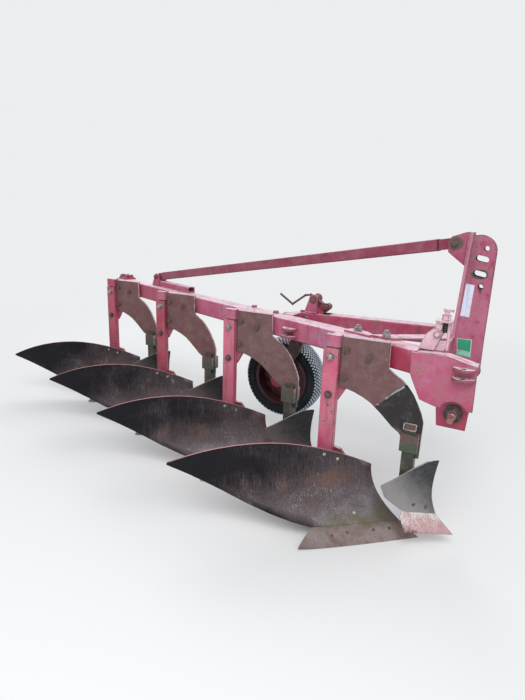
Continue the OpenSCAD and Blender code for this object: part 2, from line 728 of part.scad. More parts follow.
main_beam();
side_beam();
cross_tube();
rear_cross();
side_plate();
hitch_plate_right();
hitch_plate_left();
hitch_shaft();
mast();
strut();
strut_foot();
brace_bar();
adjuster();
lugs();
rear_plate();
bracket(0);  // bracket_1
bracket(1);  // bracket_2
bracket(2);  // bracket_3
bracket(3);  // bracket_4
leg(0);  // leg_1
leg(1);  // leg_2
leg(2);  // leg_3
leg(3);  // leg_4
frog(0);  // frog_1
frog(1);  // frog_2
frog(2);  // frog_3
frog(3);  // frog_4
mouldboard(0);  // mouldboard_1
mouldboard(1);  // mouldboard_2
mouldboard(2);  // mouldboard_3
mouldboard(3);  // mouldboard_4
share(0);  // share_1
share(1);  // share_2
share(2);  // share_3
share(3);  // share_4
landsides();
skimmer_arm(0);  // skimmer_arm_1
skimmer_arm(1);  // skimmer_arm_2
skimmer_arm(2);  // skimmer_arm_3
skimmer_arm(3);  // skimmer_arm_4
skimmer_stalks();
skimmer_board(0);  // skimmer_board_1
skimmer_board(1);  // skimmer_board_2
skimmer_board(2);  // skimmer_board_3
skimmer_board(3);  // skimmer_board_4
skimmer_shares();
wheel_bracket();
depth_spindle();
sign_plates();
wheel_arm();
wheel_rim();
tyre();
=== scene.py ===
import json
import math

import bmesh
import bpy
from mathutils import Matrix, Vector

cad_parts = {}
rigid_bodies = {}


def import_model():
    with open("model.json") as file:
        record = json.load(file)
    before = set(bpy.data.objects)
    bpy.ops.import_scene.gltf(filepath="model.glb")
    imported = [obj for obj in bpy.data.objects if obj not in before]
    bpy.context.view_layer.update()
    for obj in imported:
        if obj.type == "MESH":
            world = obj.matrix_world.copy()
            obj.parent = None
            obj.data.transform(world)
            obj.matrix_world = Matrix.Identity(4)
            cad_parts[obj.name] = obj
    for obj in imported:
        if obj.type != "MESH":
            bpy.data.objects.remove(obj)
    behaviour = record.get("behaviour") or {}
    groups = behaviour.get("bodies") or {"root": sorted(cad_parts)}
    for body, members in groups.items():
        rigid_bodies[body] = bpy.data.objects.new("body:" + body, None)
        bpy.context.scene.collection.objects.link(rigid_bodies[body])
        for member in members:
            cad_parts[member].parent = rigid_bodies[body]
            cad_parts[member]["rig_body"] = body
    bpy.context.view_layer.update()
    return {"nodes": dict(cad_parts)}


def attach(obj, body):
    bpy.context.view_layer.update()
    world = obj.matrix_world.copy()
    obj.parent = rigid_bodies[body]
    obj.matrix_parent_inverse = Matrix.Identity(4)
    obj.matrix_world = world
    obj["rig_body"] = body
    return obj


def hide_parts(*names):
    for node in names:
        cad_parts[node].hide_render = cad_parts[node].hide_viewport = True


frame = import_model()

nodes = frame["nodes"]
body_of = {name: piece["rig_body"] for name, piece in nodes.items()}

# Camera: stands in front of the headstock on the furrow side, at head height,
# and looks back along the four bodies.
camera_data = bpy.data.cameras.new("photo_camera")
camera_data.sensor_fit = "HORIZONTAL"
camera_data.sensor_width = 36.0
camera_data.lens = 34.35
camera = bpy.data.objects.new("photo_camera", camera_data)
bpy.context.scene.collection.objects.link(camera)
camera_right = Vector((0.8805, 0.47285, 0.03369))
camera_up = Vector((-0.14906, 0.2087, 0.96655))
camera_back = camera_right.cross(camera_up)
camera_turn = Matrix((camera_right, camera_up, camera_back)).transposed()
camera_place = (2.0257, -2.7171, 1.5954)
camera.matrix_world = Matrix.Translation(camera_place) @ camera_turn.to_4x4()
bpy.context.scene.camera = camera

# Floor and light: a plain pale studio floor that runs out into a pale backdrop,
# a soft even sky, and two large soft lamps.
def feed(way_in, term):
    """Links a socket or a reading to a node's input, or sets a plain value there."""
    term = getattr(term, "socket", term)
    if isinstance(term, bpy.types.NodeSocket):
        way_in.id_data.links.new(term, way_in)
    else:
        way_in.default_value = (*term, 1.0) if way_in.type == "RGBA" else term


def put(near, kind, values=(), **settings):
    """Adds a node to the tree that near is, or is a socket of."""
    node = near.id_data.nodes.new(kind)
    for name, value in settings.items():
        setattr(node, name, value)
    for name, value in dict(values).items():
        feed(node.inputs[name], value)
    return node


class Reading:
    """A number read off the surface at each point, which adds and multiplies like any."""

    def __init__(self, socket):
        self.socket = socket

    def worked(self, act, first, second):
        node = put(self.socket, "ShaderNodeMath", {0: first, 1: second}, operation=act)
        return Reading(node.outputs["Value"])

    def __add__(self, other):
        return self.worked("ADD", self, other)

    def __radd__(self, other):
        return self.worked("ADD", other, self)

    def __sub__(self, other):
        return self.worked("SUBTRACT", self, other)

    def __rsub__(self, other):
        return self.worked("SUBTRACT", other, self)

    def __mul__(self, other):
        return self.worked("MULTIPLY", self, other)

    def at_least(self, other):
        return self.worked("MAXIMUM", self, other)

    def at_most(self, other):
        return self.worked("MINIMUM", self, other)

    def step(self, low, high, top=1.0, bottom=0.0):
        """Rises smoothly from bottom to top as the number goes from low to high."""
        node = put(self.socket, "ShaderNodeMapRange", {
            "Value": self, "From Min": low, "From Max": high, "To Min": bottom,
            "To Max": top}, interpolation_type="SMOOTHSTEP")
        return Reading(node.outputs["Result"])


def gauged(act, place, other=(0, 0, 0)):
    """A place's LENGTH, its DISTANCE from another, or its DOT_PRODUCT with a direction."""
    node = put(place, "ShaderNodeVectorMath", {0: place, 1: other}, operation=act)
    return Reading(node.outputs["Value"])


def spot_of(near):
    return put(near, "ShaderNodeTexCoord").outputs["Object"]


scene = bpy.context.scene
scene.view_settings.view_transform = "Standard"
floor_mesh = bpy.data.meshes.new("studio_floor")
floor_bm = bmesh.new()
bmesh.ops.create_circle(floor_bm, cap_ends=True, segments=96, radius=60.0)
floor_bm.to_mesh(floor_mesh)
floor_bm.free()
floor = bpy.data.objects.new("studio_floor", floor_mesh)
scene.collection.objects.link(floor)
backdrop_tone = (0.84, 0.85, 0.86)
floor_paint = bpy.data.materials.new("studio_floor_paint")
floor_paint.use_nodes = True
floor_nodes = floor_paint.node_tree.nodes
floor_shader = floor_nodes["Principled BSDF"]
for key, value in (("Base Color", (0.8, 0.8, 0.79)), ("Roughness", 0.9),
                   ("Specular IOR Level", 0.1)):
    feed(floor_shader.inputs[key], value)
floor_rays = put(floor_shader, "ShaderNodeLightPath").outputs
floor_seen = Reading(floor_rays["Is Camera Ray"]).at_least(floor_rays["Is Glossy Ray"])
floor_far = put(floor_shader, "ShaderNodeEmission", {"Color": backdrop_tone})
floor_mix = put(floor_shader, "ShaderNodeMixShader", {
    "Fac": gauged("LENGTH", spot_of(floor_shader)).step(1.8, 6.5) * floor_seen,
    1: floor_shader.outputs["BSDF"], 2: floor_far.outputs["Emission"]})
feed(floor_nodes["Material Output"].inputs["Surface"], floor_mix.outputs["Shader"])
floor_mesh.materials.append(floor_paint)

world = bpy.data.worlds.new("studio_sky")
scene.world = world
world.use_nodes = True
sky = world.node_tree
sky.nodes.clear()
sky_light = put(sky, "ShaderNodeBackground", {"Color": (0.93, 0.96, 1.0), "Strength": 0.72})
sky_seen = put(sky, "ShaderNodeBackground", {"Color": backdrop_tone, "Strength": 1.0})
sky_rays = put(sky, "ShaderNodeLightPath").outputs
sky_mix = put(sky, "ShaderNodeMixShader", {
    "Fac": Reading(sky_rays["Is Camera Ray"]).at_least(sky_rays["Is Glossy Ray"]).at_least(
        sky_rays["Is Transmission Ray"]),
    1: sky_light.outputs["Background"], 2: sky_seen.outputs["Background"]})
put(sky, "ShaderNodeOutputWorld", {"Surface": sky_mix.outputs["Shader"]})

LAMP_AIM = Vector((0, 0, 0.5))
for name, place, size, watts in (("key_softbox", (2.6, -4.2, 5.6), 4.5, 250.0),
                                 ("back_softbox", (-3.5, 4.5, 5.0), 4.0, 120.0)):
    lamp = bpy.data.lights.new(name, "AREA")
    lamp.shape = "DISK"
    lamp.size = size
    lamp.energy = watts
    lamp_object = bpy.data.objects.new(name, lamp)
    lamp_object.location = place
    lamp_object.rotation_euler = (LAMP_AIM - Vector(place)).to_track_quat("-Z", "Y").to_euler()
    scene.collection.objects.link(lamp_object)

# Frame: main beam, land-side beam, cross tubes and plates, rolled and plate
# steel welded up and sprayed red, since faded to pink and chipped.
def axis_of(place, axis):
    return Reading(put(place, "ShaderNodeSeparateXYZ", {"Vector": place}).outputs[axis])


def facing(near, axis):
    """How far the surface faces along an axis, from -1 to 1."""
    return axis_of(put(near, "ShaderNodeTexCoord").outputs["Normal"], axis)


def patches(place, size, detail=5.0, rough=0.6, warp=0.0):
    node = put(place, "ShaderNodeTexNoise", {
        "Vector": place, "Scale": size, "Detail": detail, "Roughness": rough,
        "Distortion": warp})
    return Reading(node.outputs["Fac"])


def stretched(place, scale, turn=(0, 0, 0), shift=(0, 0, 0)):
    return put(place, "ShaderNodeMapping", {
        "Vector": place, "Location": shift, "Rotation": turn,
        "Scale": scale}).outputs["Vector"]


def laid_over(amount, below, above):
    """One colour over another; a Mix node's colours are its inputs 6 and 7, output 2."""
    return put(amount.socket, "ShaderNodeMix", {0: amount, 6: below, 7: above},
               data_type="RGBA").outputs[2]


def arris_mask(near, reach):
    """1 on the arrises of a piece, 0 on its flats."""
    rounded = put(near, "ShaderNodeBevel", {"Radius": reach}, samples=4).outputs["Normal"]
    plain = put(near, "ShaderNodeNewGeometry").outputs["Normal"]
    return gauged("DOT_PRODUCT", rounded, plain).step(0.995, 0.86)


def film_group(name, colours, values, results):
    """A node group for one kind of surface, and its inputs by name."""
    group = bpy.data.node_groups.new(name, "ShaderNodeTree")
    for keys, way, kind in ((colours, "INPUT", "NodeSocketColor"),
                            (values, "INPUT", "NodeSocketFloat"),
                            (["Colour"], "OUTPUT", "NodeSocketColor"),
                            (results, "OUTPUT", "NodeSocketFloat")):
        for key in keys:
            group.interface.new_socket(name=key, in_out=way, socket_type=kind)
    ways_in = group.nodes.new("NodeGroupInput").outputs
    return group, {way.name: Reading(way) if way.type == "VALUE" else way for way in ways_in}


def give_out(group, **results):
    ways_out = group.nodes.new("NodeGroupOutput").inputs
    for key, value in results.items():
        feed(ways_out[key], value)


def finish_of(name, plain, bump, surface):
    """A material: plain values on its shader, and what surface(tree) gives linked to it."""
    finish = bpy.data.materials.new(name)
    finish.use_nodes = True
    tree = finish.node_tree
    given = surface(tree)
    given["Normal"] = put(tree, "ShaderNodeBump", {
        "Strength": bump[0], "Distance": bump[1],
        "Height": given.pop("Height")}).outputs["Normal"]
    for key, value in {**plain, **given}.items():
        feed(tree.nodes["Principled BSDF"].inputs[key], value)
    return finish


def filmed(name, group, values, plain, bump, over):
    """A finish from a film group, its values in the order of the group's inputs.
    over(colour) may lay its own marks on the colour."""
    def surface(tree):
        film = put(tree, "ShaderNodeGroup", enumerate(values), node_tree=group)
        given = {way.name: way for way in film.outputs}
        colour = given.pop("Colour")
        return {**given, "Base Color": over(colour) if over else colour}
    return finish_of(name, plain, bump, surface)


paint_film, film_in = film_group("weathered_paint", ["Paint", "Faded", "Rust", "Chalk_and_highlight"],
                                 ["Fade", "Chips", "Soil", "Bloom"], ["Roughness", "Height"])
spot = spot_of(paint_film)
up = facing(paint_film, "Z")
wide = patches(spot, 3.1, 4.0, 0.55, 0.4)
mid = patches(spot, 15.0, 8.0, 0.68, 0.3)
fine = patches(spot, 95.0, 6.0, 0.7)
rain = patches(stretched(spot, (26.0, 26.0, 2.2)), 1.0)
# level faces fade paler: partly sun bleaching, partly a painted highlight from the light above
level = up.step(0.35, 0.95)
bleach_and_top_highlight = film_in["Fade"] + level * 0.4 + (wide - 0.5) * 1.7 + (mid - 0.5) * 0.9
bleach_and_top_highlight = bleach_and_top_highlight.at_most(1.0).at_least(0.0)
tone = laid_over(bleach_and_top_highlight, film_in["Paint"], film_in["Faded"])
# lilac bloom in patches; undersides darkened toward the rust tone, a painted shade
bloom = patches(spot, 7.0, 7.0, 0.62, 0.5).step(0.5, 0.68) * film_in["Bloom"]
tone = laid_over(bloom, tone, (0.46, 0.225, 0.38))
tone = laid_over(up.step(-0.3, -0.8, 0.65), tone, film_in["Rust"])
# chalked film on level faces, which lie open to sun and rain, and on rubbed arrises; these pale
# tops and edges are also a painted highlight
edge = arris_mask(paint_film, 0.007)
tone = laid_over((level * 0.66 + mid).step(0.8, 1.12, 0.92), tone, film_in["Chalk_and_highlight"])
tone = laid_over((edge * 0.6 + mid).step(0.76, 1.02, 0.8), tone, film_in["Chalk_and_highlight"])
dark_run = rain.step(0.53, 0.68, 0.85) * film_in["Soil"]
tone = laid_over(dark_run, tone, (0.15, 0.055, 0.065))
film = (mid + fine * 0.35).step(0.62, 0.86, 0.75) * film_in["Soil"]
tone = laid_over(film, tone, (0.26, 0.185, 0.15))
chip = (fine * 0.55 + mid * 0.55 + edge * 0.2 + film_in["Chips"] * 0.22).step(0.745, 0.785)
tone = laid_over(chip, tone, film_in["Rust"])
give_out(paint_film, Colour=tone, Roughness=0.34 + bleach_and_top_highlight * 0.2 + film * 0.3 + chip * 0.3,
         Height=fine * 0.12 - chip * 0.5 + film * 0.25)


def painted(name, paint, faded, rust, fade, chips, soil, gloss=0.45, over=None,
            chalk_and_highlight=(0.8, 0.585, 0.665), bloom=0.0):
    return filmed(name, paint_film, (paint, faded, rust, chalk_and_highlight, fade, chips, soil, bloom),
                  {"Specular IOR Level": gloss}, (0.35, 0.0012), over)


def dress(finish, *names):
    for name in names:
        mesh = nodes[name].data
        mesh.materials.clear()
        mesh.materials.append(finish)


RED = (0.37, 0.03, 0.095)
PINK = (0.56, 0.175, 0.28)
# the rust tone also darkens the undersides of the paints, a painted shade
BROWN_RUST_AND_UNDERSIDE_SHADE = (0.085, 0.036, 0.03)


def sheltered(colour):
    """Deeper red at the rear of the beam and low on the hitch plates, rust behind lugs."""
    spot = spot_of(colour)
    rear = axis_of(spot, "X") + patches(spot, 6.0) * 0.3
    colour = laid_over(facing(colour, "Z").step(0.7, 0.4) * rear.step(-0.22, -0.4, 0.6),
                       colour, (0.36, 0.03, 0.075))
    for place, reach, amount, tone in (
            ((1.8, -0.33, 0.68), 0.085, 0.75, (0.27, 0.018, 0.045)),
            ((1.489, -0.308, 0.925), 0.1, 0.8, (0.31, 0.014, 0.045)),
            ((0.8111, -0.0471, 0.944), 0.03, 0.95, (0.03, 0.016, 0.016)),
            ((0.8111, -0.0471, 0.944), 0.075, 0.45, (0.26, 0.025, 0.055))):
        ragged = gauged("DISTANCE", spot, place) + (
            patches(spot, 55.0, 5.0, 0.65) - 0.5) * (reach * 0.9)
        colour = laid_over(ragged.step(reach * 1.25, reach * 0.75, amount), colour, tone)
    return colour


red_paint = painted("faded_red_paint", RED, PINK, BROWN_RUST_AND_UNDERSIDE_SHADE, 0.42, 0.38, 0.6, over=sheltered,
                    bloom=0.55)
dress(red_paint, "main_beam", "cross_tube", "rear_cross", "rear_plate", "side_plate")
dress(painted("hitch_plate_paint", RED, (0.53, 0.165, 0.265), BROWN_RUST_AND_UNDERSIDE_SHADE, 0.42, 0.42, 0.35,
              over=sheltered, bloom=0.08), "hitch_plate_right", "hitch_plate_left")
# the land-side beam in a darker copy of the red, a painted shade for the shade it lies in
dress(painted("red_paint_painted_shade", (0.33, 0.022, 0.07), (0.5, 0.125, 0.205), BROWN_RUST_AND_UNDERSIDE_SHADE, 0.34,
              0.38, 0.55, bloom=0.25), "side_beam")


def lug_tops(colour):
    """Level faces of the lugs, paled nearly white round the holes: partly bleached paint, partly
    a painted highlight on the upward faces.
    """
    ragged = patches(spot_of(colour), 48.0, 6.0, 0.7)
    pale = facing(colour, "Z").step(0.6, 0.9) * ragged.step(0.36, 0.54, 0.9)
    return laid_over(pale, colour, (0.78, 0.62, 0.66))


dress(painted("lug_red_paint", (0.27, 0.016, 0.05), (0.42, 0.07, 0.13), BROWN_RUST_AND_UNDERSIDE_SHADE, 0.3,
              0.45, 0.6, over=lug_tops, chalk_and_highlight=(0.5, 0.19, 0.25)), "lugs")
# each body stands a pitch behind and a cut beside the last; the shift is where
# the plough's own zero lies in the frame
BODIES = range(4)
BODY_PITCH, BODY_CUT = 800.0, 300.0
SHIFT_X, SHIFT_Y, SHIFT_Z = 1659.0, -278.0, 8.0
BEAM_START_X, BEAM_START_Y = -402.0, 121.0
SLANT = math.atan(BODY_CUT / BODY_PITCH)


def at(x, y, z):
    """A point in the plough's own millimetres, in the frame's metres."""
    return Vector(((x + SHIFT_X) / 1000, (y + SHIFT_Y) / 1000, (z + SHIFT_Z) / 1000))


def on_body(i, x, y, z):
    return at(x - BODY_PITCH * i, y + BODY_CUT * i, z)


def on_beam(u, v, z):
    """A point u along the slanting beam and v across it."""
    return at(BEAM_START_X + u * math.cos(SLANT) + v * math.sin(SLANT),
              BEAM_START_Y - u * math.sin(SLANT) + v * math.cos(SLANT), z)


def settle(name, bm, slot, *finishes, rider="main_beam", crease=35):
    """Turns a bmesh into a piece that rides with the body of a CAD node."""
    mesh = bpy.data.meshes.new(name)
    bm.to_mesh(mesh)
    bm.free()
    for finish in finishes:
        mesh.materials.append(finish)
    mesh.shade_smooth()
    mesh.set_sharp_from_angle(angle=math.radians(crease))
    piece = bpy.data.objects.new(name, mesh)
    scene.collection.objects.link(piece)
    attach(piece, body_of[rider])
    return piece


# Weld runs: rippled fillets laid by hand where brackets, plates and tubes meet,
# painted over with the frame.
def along(place, axis):
    """Turns a part made along +Z so that it points along axis, at place."""
    return Matrix.Translation(place) @ Vector(axis).to_track_quat("Z", "Y").to_matrix().to_4x4()


def gather(bm, part):
    """Adds a finished small part to the bmesh of its group."""
    lump = bpy.data.meshes.new("lump")
    part.to_mesh(lump)
    part.free()
    bm.from_mesh(lump)
    bpy.data.meshes.remove(lump)


def rod(across, long, sides):
    part = bmesh.new()
    bmesh.ops.create_cone(part, cap_ends=True, segments=sides, radius1=across / 2,
                          radius2=across / 2, depth=long)
    return part


def weld(bm, start, end, width):
    """A bead along a line, swelling at each ripple and tapered at both ends."""
    run = end - start
    long = run.length
    beads = max(2, round(long / (width * 0.55)))
    part = rod(width, long, 8)
    lengthwise = [e for e in part.edges if abs(e.verts[0].co.z - e.verts[1].co.z) > long / 2]
    bmesh.ops.subdivide_edges(part, edges=lengthwise, cuts=beads * 3 - 1, use_grid_fill=True)
    for v in part.verts:
        t = v.co.z / long + 0.5
        swell = 0.86 + 0.15 * abs(math.sin(math.pi * beads * t)) + 0.06 * math.sin(t * long * 210)
        swell *= min(1.0, 0.3 + 12.0 * min(t, 1.0 - t))
        v.co.x *= swell
        v.co.y *= swell
    part.transform(along(start.lerp(end, 0.5), run))
    gather(bm, part)


frame_welds = bmesh.new()
for i in BODIES:
    # stop block over the leg and the wedge plate's rear edge
    for start, end, width in (((-428, -46, 970), (-428, -46, 1024), 0.01),
                              ((-511, -46, 970), (-511, -46, 1024), 0.01),
                              ((-508, -25, 1007), (-194, -25, 1007), 0.009)):
        weld(frame_welds, on_body(i, *start), on_body(i, *end), width)
# beam end on the cross tube, cheek of the headstock, foot of the mast, and last
# the box between the beams
for start, end, width in (
        ((-55, 0, 1006), (-55, 50, 1006), 0.012), ((-55, -64, 998), (-55, -20, 998), 0.012),
        ((-60, -66, 999), (88, -66, 1002), 0.009), ((58, 324, 1008), (58, 412, 1008), 0.013),
        ((38, 322, 1008), (60, 322, 1008), 0.012), ((-55, 458, 1006), (-55, 545, 1006), 0.012),
        ((-987, 406, 1006), (-987, 452, 1006), 0.01),
        ((-905, 372, 1006), (-905, 470, 1006), 0.01)):
    weld(frame_welds, at(*start), at(*end), width)
for z in (904, 915, 950, 962):
    weld(frame_welds, on_beam(-500, -61, z), on_beam(-408, -61, z), 0.007)
    weld(frame_welds, at(118, -81, z), at(212, -81, z), 0.007)
settle("frame_welds", frame_welds, "red_paint", red_paint)

# Legs and brackets: flat bars bolted through the bracket webs, each with a shear
# bolt on top and a pivot bolt below, zinc above and rusted below.
def eased(bm, edges, reach):
    bmesh.ops.bevel(bm, geom=edges, offset=reach, offset_type="OFFSET", segments=1,
                    profile=0.5, affect="EDGES", material=-1)


def turned_disc(bm, place, axis, across, thick, sides=28, nip=0.0012):
    """A round or hexagonal disc standing on place, its outer rims bevelled."""
    axis = Vector(axis).normalized()
    part = rod(across, thick, sides)
    eased(part, [e for e in part.edges if any(len(f.verts) > 4 for f in e.link_faces)], nip)
    part.transform(along(place + axis * thick / 2, axis))
    gather(bm, part)


FURROWWARD, LANDWARD, UPWARD = (0, -1, 0), (0, 1, 0), (0, 0, 1)
WASHER, THREAD_PITCH = 0.004, 0.003
HEX_CORNERS = 1.1547


def bolt_head(bm, place, axis, flats, high, plate_d=0.0, stud=0.0, stud_d=0.0):
    """Washer, hexagon and thread end, one on the other, from place outwards."""
    axis = Vector(axis).normalized()
    foot = Vector(place)
    if plate_d:
        turned_disc(bm, foot, axis, plate_d, WASHER)
        foot = foot + axis * WASHER
    turned_disc(bm, foot, axis, flats * HEX_CORNERS, high, sides=6, nip=0.0016)
    if stud:
        turned_disc(bm, foot + axis * high, axis, stud_d, stud, sides=20, nip=0.0015)
        for k in range(int(stud / THREAD_PITCH)):
            turned_disc(bm, foot + axis * (high + 0.001 + k * THREAD_PITCH), axis,
                        stud_d + 0.0014, 0.0013, sides=20, nip=0.0005)


steel_film, film_in = film_group("weathered_steel", ["Steel", "Rust", "Dark"], ["Rusting"],
                                 ["Roughness", "Metallic", "Height"])
spot = spot_of(steel_film)
mid = patches(spot, 42.0, 7.0, 0.7, 0.4)
fine = patches(spot, 240.0, 5.0, 0.7)
rusty = (fine * 0.5 + (mid + film_in["Rusting"] * 0.7)).step(0.95, 1.22)
tone = laid_over(rusty, film_in["Steel"], film_in["Rust"])
tone = laid_over(mid.step(0.55, 0.42, 0.7), tone, film_in["Dark"])
tone = laid_over(arris_mask(steel_film, 0.002) * 0.35, tone, (0.55, 0.5, 0.47))
give_out(steel_film, Colour=tone, Roughness=0.36 + rusty * 0.32, Metallic=0.7 - rusty * 0.65,
         Height=fine + rusty * 0.4)


def steel_finish(name, steel, rust, dark, rusting, over=None):
    return filmed(name, steel_film, (steel, rust, dark, rusting), {}, (0.4, 0.0006), over)


zinc = steel_finish("zinc_fastener", (0.4, 0.4, 0.4), (0.17, 0.1, 0.08),
                    (0.1, 0.095, 0.095), 0.25)
old_bolt = steel_finish("rusted_fastener", (0.2, 0.17, 0.16), (0.1, 0.055, 0.045),
                        (0.05, 0.035, 0.03), 0.6)
leg_paint = painted("faded_leg_paint", (0.5, 0.055, 0.125), (0.66, 0.205, 0.295), BROWN_RUST_AND_UNDERSIDE_SHADE,
                    0.42, 0.46, 0.6, bloom=0.15)
rear_leg_paint = painted("rear_leg_paint", (0.38, 0.026, 0.062), (0.52, 0.12, 0.19), BROWN_RUST_AND_UNDERSIDE_SHADE,
                         0.36, 0.62, 0.7, bloom=0.1)
leg_bolts, leg_pins, leg_welds = bmesh.new(), bmesh.new(), bmesh.new()
for i in BODIES:
    dress(leg_paint if i < 2 else rear_leg_paint, f"leg_{i + 1}")
    dress(red_paint, f"bracket_{i + 1}")
    for z, bm in ((915, leg_bolts), (709, leg_pins)):
        bolt_head(bm, on_body(i, -475.5, -83, z), FURROWWARD, 0.03, 0.016, 0.043, 0.007, 0.02)
        bolt_head(bm, on_body(i, -475.5, -25, z), LANDWARD, 0.03, 0.013, 0.037)
    weld(leg_welds, on_body(i, -512, -46, 672), on_body(i, -512, -46, 955), 0.006)
settle("leg_bolts_upper", leg_bolts, "bare_steel", zinc)
settle("leg_bolts_lower", leg_pins, "bare_steel", old_bolt)
settle("leg_welds", leg_welds, "red_paint", leg_paint)

# Skimmer arms and stalks: flame-cut plates in brown primer, bolted to the webs,
# with a welded socket for the square stalk. The front arm is black below.
def blackened(colour):
    """Black on the lower half of an arm, below a ragged slanting border."""
    spot = spot_of(colour)
    z = axis_of(spot, "Z")
    ragged = patches(spot, 30.0, 5.0, 0.65) * 0.03
    drop = axis_of(spot, "X") + ragged - z
    below = drop.step(0.746, 0.754) * (z + ragged).step(0.6, 0.625)
    worn = patches(spot, 22.0, 6.0, 0.65).step(0.46, 0.74, 0.8)
    black = laid_over(worn, (0.022, 0.019, 0.02), (0.075, 0.068, 0.07))
    return laid_over(below, colour, black)


def mossed(colour):
    """Greenish remnants on the sockets and lower stalks, pale cut edges in front."""
    spot = spot_of(colour)
    cut = facing(colour, "X").step(0.3, 0.55, 0.9) * patches(
        spot, 24.0, 6.0, 0.65).step(0.3, 0.52)
    colour = laid_over(cut, colour, (0.62, 0.51, 0.51))
    low = axis_of(spot, "Z").step(0.66, 0.52)
    blot = (low * 0.25 + patches(spot, 34.0, 6.0, 0.7)).step(0.62, 0.78, 0.85) * low
    colour = laid_over(low * 0.5, colour, (0.05, 0.048, 0.038))
    return laid_over(blot, colour, (0.045, 0.085, 0.052))


def bar(place, turn, axis, size, nip):
    """A small flat bar turned about one axis, its edges broken."""
    part = bmesh.new()
    bmesh.ops.create_cube(part, size=1.0, matrix=Matrix.Translation(place)
                          @ Matrix.Rotation(turn, 4, axis) @ Matrix.Diagonal((*size, 1.0)))
    eased(part, part.edges[:], nip)
    return part


primer_tones = ((0.132, 0.062, 0.064), (0.19, 0.1, 0.104), (0.05, 0.03, 0.026),
                0.42, 0.5, 0.6, 0.3)
primer_chalk_and_highlight = (0.34, 0.235, 0.225)
primer_paint = painted("brown_primer", *primer_tones, over=mossed, chalk_and_highlight=primer_chalk_and_highlight)
dress(primer_paint, "skimmer_arm_2")
dress(painted("rear_arm_primer", (0.128, 0.052, 0.056), (0.18, 0.082, 0.088),
              (0.05, 0.028, 0.026), 0.42, 0.5, 0.55, 0.3, over=mossed, chalk_and_highlight=primer_chalk_and_highlight),
      "skimmer_arm_3", "skimmer_arm_4")
dress(painted("front_arm_primer", *primer_tones, chalk_and_highlight=primer_chalk_and_highlight,
              over=lambda colour: blackened(mossed(colour))), "skimmer_arm_1")
dress(painted("stalk_primer", (0.036, 0.042, 0.034), (0.058, 0.064, 0.05),
              (0.03, 0.026, 0.022), 0.42, 0.5, 0.6, 0.3, chalk_and_highlight=(0.09, 0.1, 0.08)),
      "skimmer_stalks")
arm_bolts, socket_welds, arm_welds = bmesh.new(), bmesh.new(), bmesh.new()
for i in BODIES:
    for x, z in ((-399, 957), (-283, 933), (-404, 810)):
        bolt_head(arm_bolts, on_body(i, x, -60, z), FURROWWARD, 0.03, 0.013, 0.036)
        bolt_head(arm_bolts, on_body(i, x, -25, z), LANDWARD, 0.03, 0.015, 0.034, 0.006, 0.016)
    weld(socket_welds, on_body(i, -84, -62, 585), on_body(i, 2, -62, 585), 0.009)
    weld(socket_welds, on_body(i, -85, -61, 500), on_body(i, -85, -61, 560), 0.009)
# on the front arm also a pale seam, and a small leaning cleat in a frame of weld
for start, end, width in (((-184, -61, 735), (-128, -61, 791), 0.01),
                          ((-134, -61, 785), (-92, -61, 820), 0.014),
                          ((-222, -61, 697), (-212, -61, 706), 0.01)):
    weld(arm_welds, at(*start), at(*end), width)
cleat_corners = [at(-76, -81, 607), at(-16, -81, 607), at(-16, -62, 634), at(-76, -62, 634)]
for k in range(4):
    weld(arm_welds, cleat_corners[k], cleat_corners[(k + 1) % 4], 0.0065)
cleat = bar(at(-46, -70.5, 620.5), math.radians(-34), "X", (0.06, 0.004, 0.033), 0.001)
cleat_rust = steel_finish("cleat_rust", (0.085, 0.05, 0.04), (0.095, 0.042, 0.028),
                          (0.05, 0.03, 0.024), 0.7)
pale_bead = steel_finish("pale_weld_bead", (0.42, 0.42, 0.41), (0.24, 0.2, 0.17),
                         (0.12, 0.12, 0.12), 0.25)
settle("arm_bolts", arm_bolts, "bare_steel", old_bolt)
settle("front_cleat", cleat, "primer", cleat_rust)
settle("arm_welds", arm_welds, "bare_steel", pale_bead)
settle("socket_welds", socket_welds, "primer", primer_paint)

# Mouldboards, frogs and landsides: pressed plate on a cast seat. The boards carry
# a brown rust film with fine upright streaks, are painted almost black at the wing as painted
# shade, and pale grey where they face up as a painted sheen.
def fore_of(spot):
    """How far forward on its body a place lies; the same on all four bodies."""
    return gauged("DOT_PRODUCT", spot, (BODY_CUT / 1000, BODY_PITCH / 1000, 0.0))


soil_film, film_in = film_group("soil_worn_plate", ["Pale", "Brown", "Dark", "Edge"],
                                ["Darkness"], ["Roughness", "Height"])
spot = spot_of(soil_film)
up = facing(soil_film, "Z")
wide = patches(spot, 4.0, 5.0, 0.6, 0.5)
mid = patches(spot, 26.0, 8.0, 0.7, 0.2)
fine = patches(spot, 190.0, 5.0, 0.75)
streak = patches(stretched(spot, (150.0, 150.0, 9.0)), 1.0, 6.0, 0.65)
fleck = patches(stretched(spot, (330.0, 330.0, 70.0)), 1.0, 3.0, 0.6)
# plate that faces up or lies forward is scoured brown and turns pale grey, partly a painted
# sheen; plate that overhangs is dark, a painted shade
level = up * 0.62 + (wide - 0.5) * 0.7 + (fore_of(spot) + 0.12) * 0.62
level = level - film_in["Darkness"] + (streak - 0.5) * 0.42
tone = laid_over(level.step(-0.3, 0.24), film_in["Dark"], film_in["Brown"])
tone = laid_over((level + mid * 0.5).step(0.42, 0.86, 0.85), tone, film_in["Pale"])
tone = laid_over((fleck + level * 0.16).step(0.57, 0.74, 0.34), tone, film_in["Pale"])
tone = laid_over((mid + fine * 0.5).step(0.86, 0.98, 0.6), tone, (0.028, 0.018, 0.016))
# rust bloom in patches, its grain, and short upright scratches down to the steel
grain = patches(spot, 115.0, 4.0, 0.8)
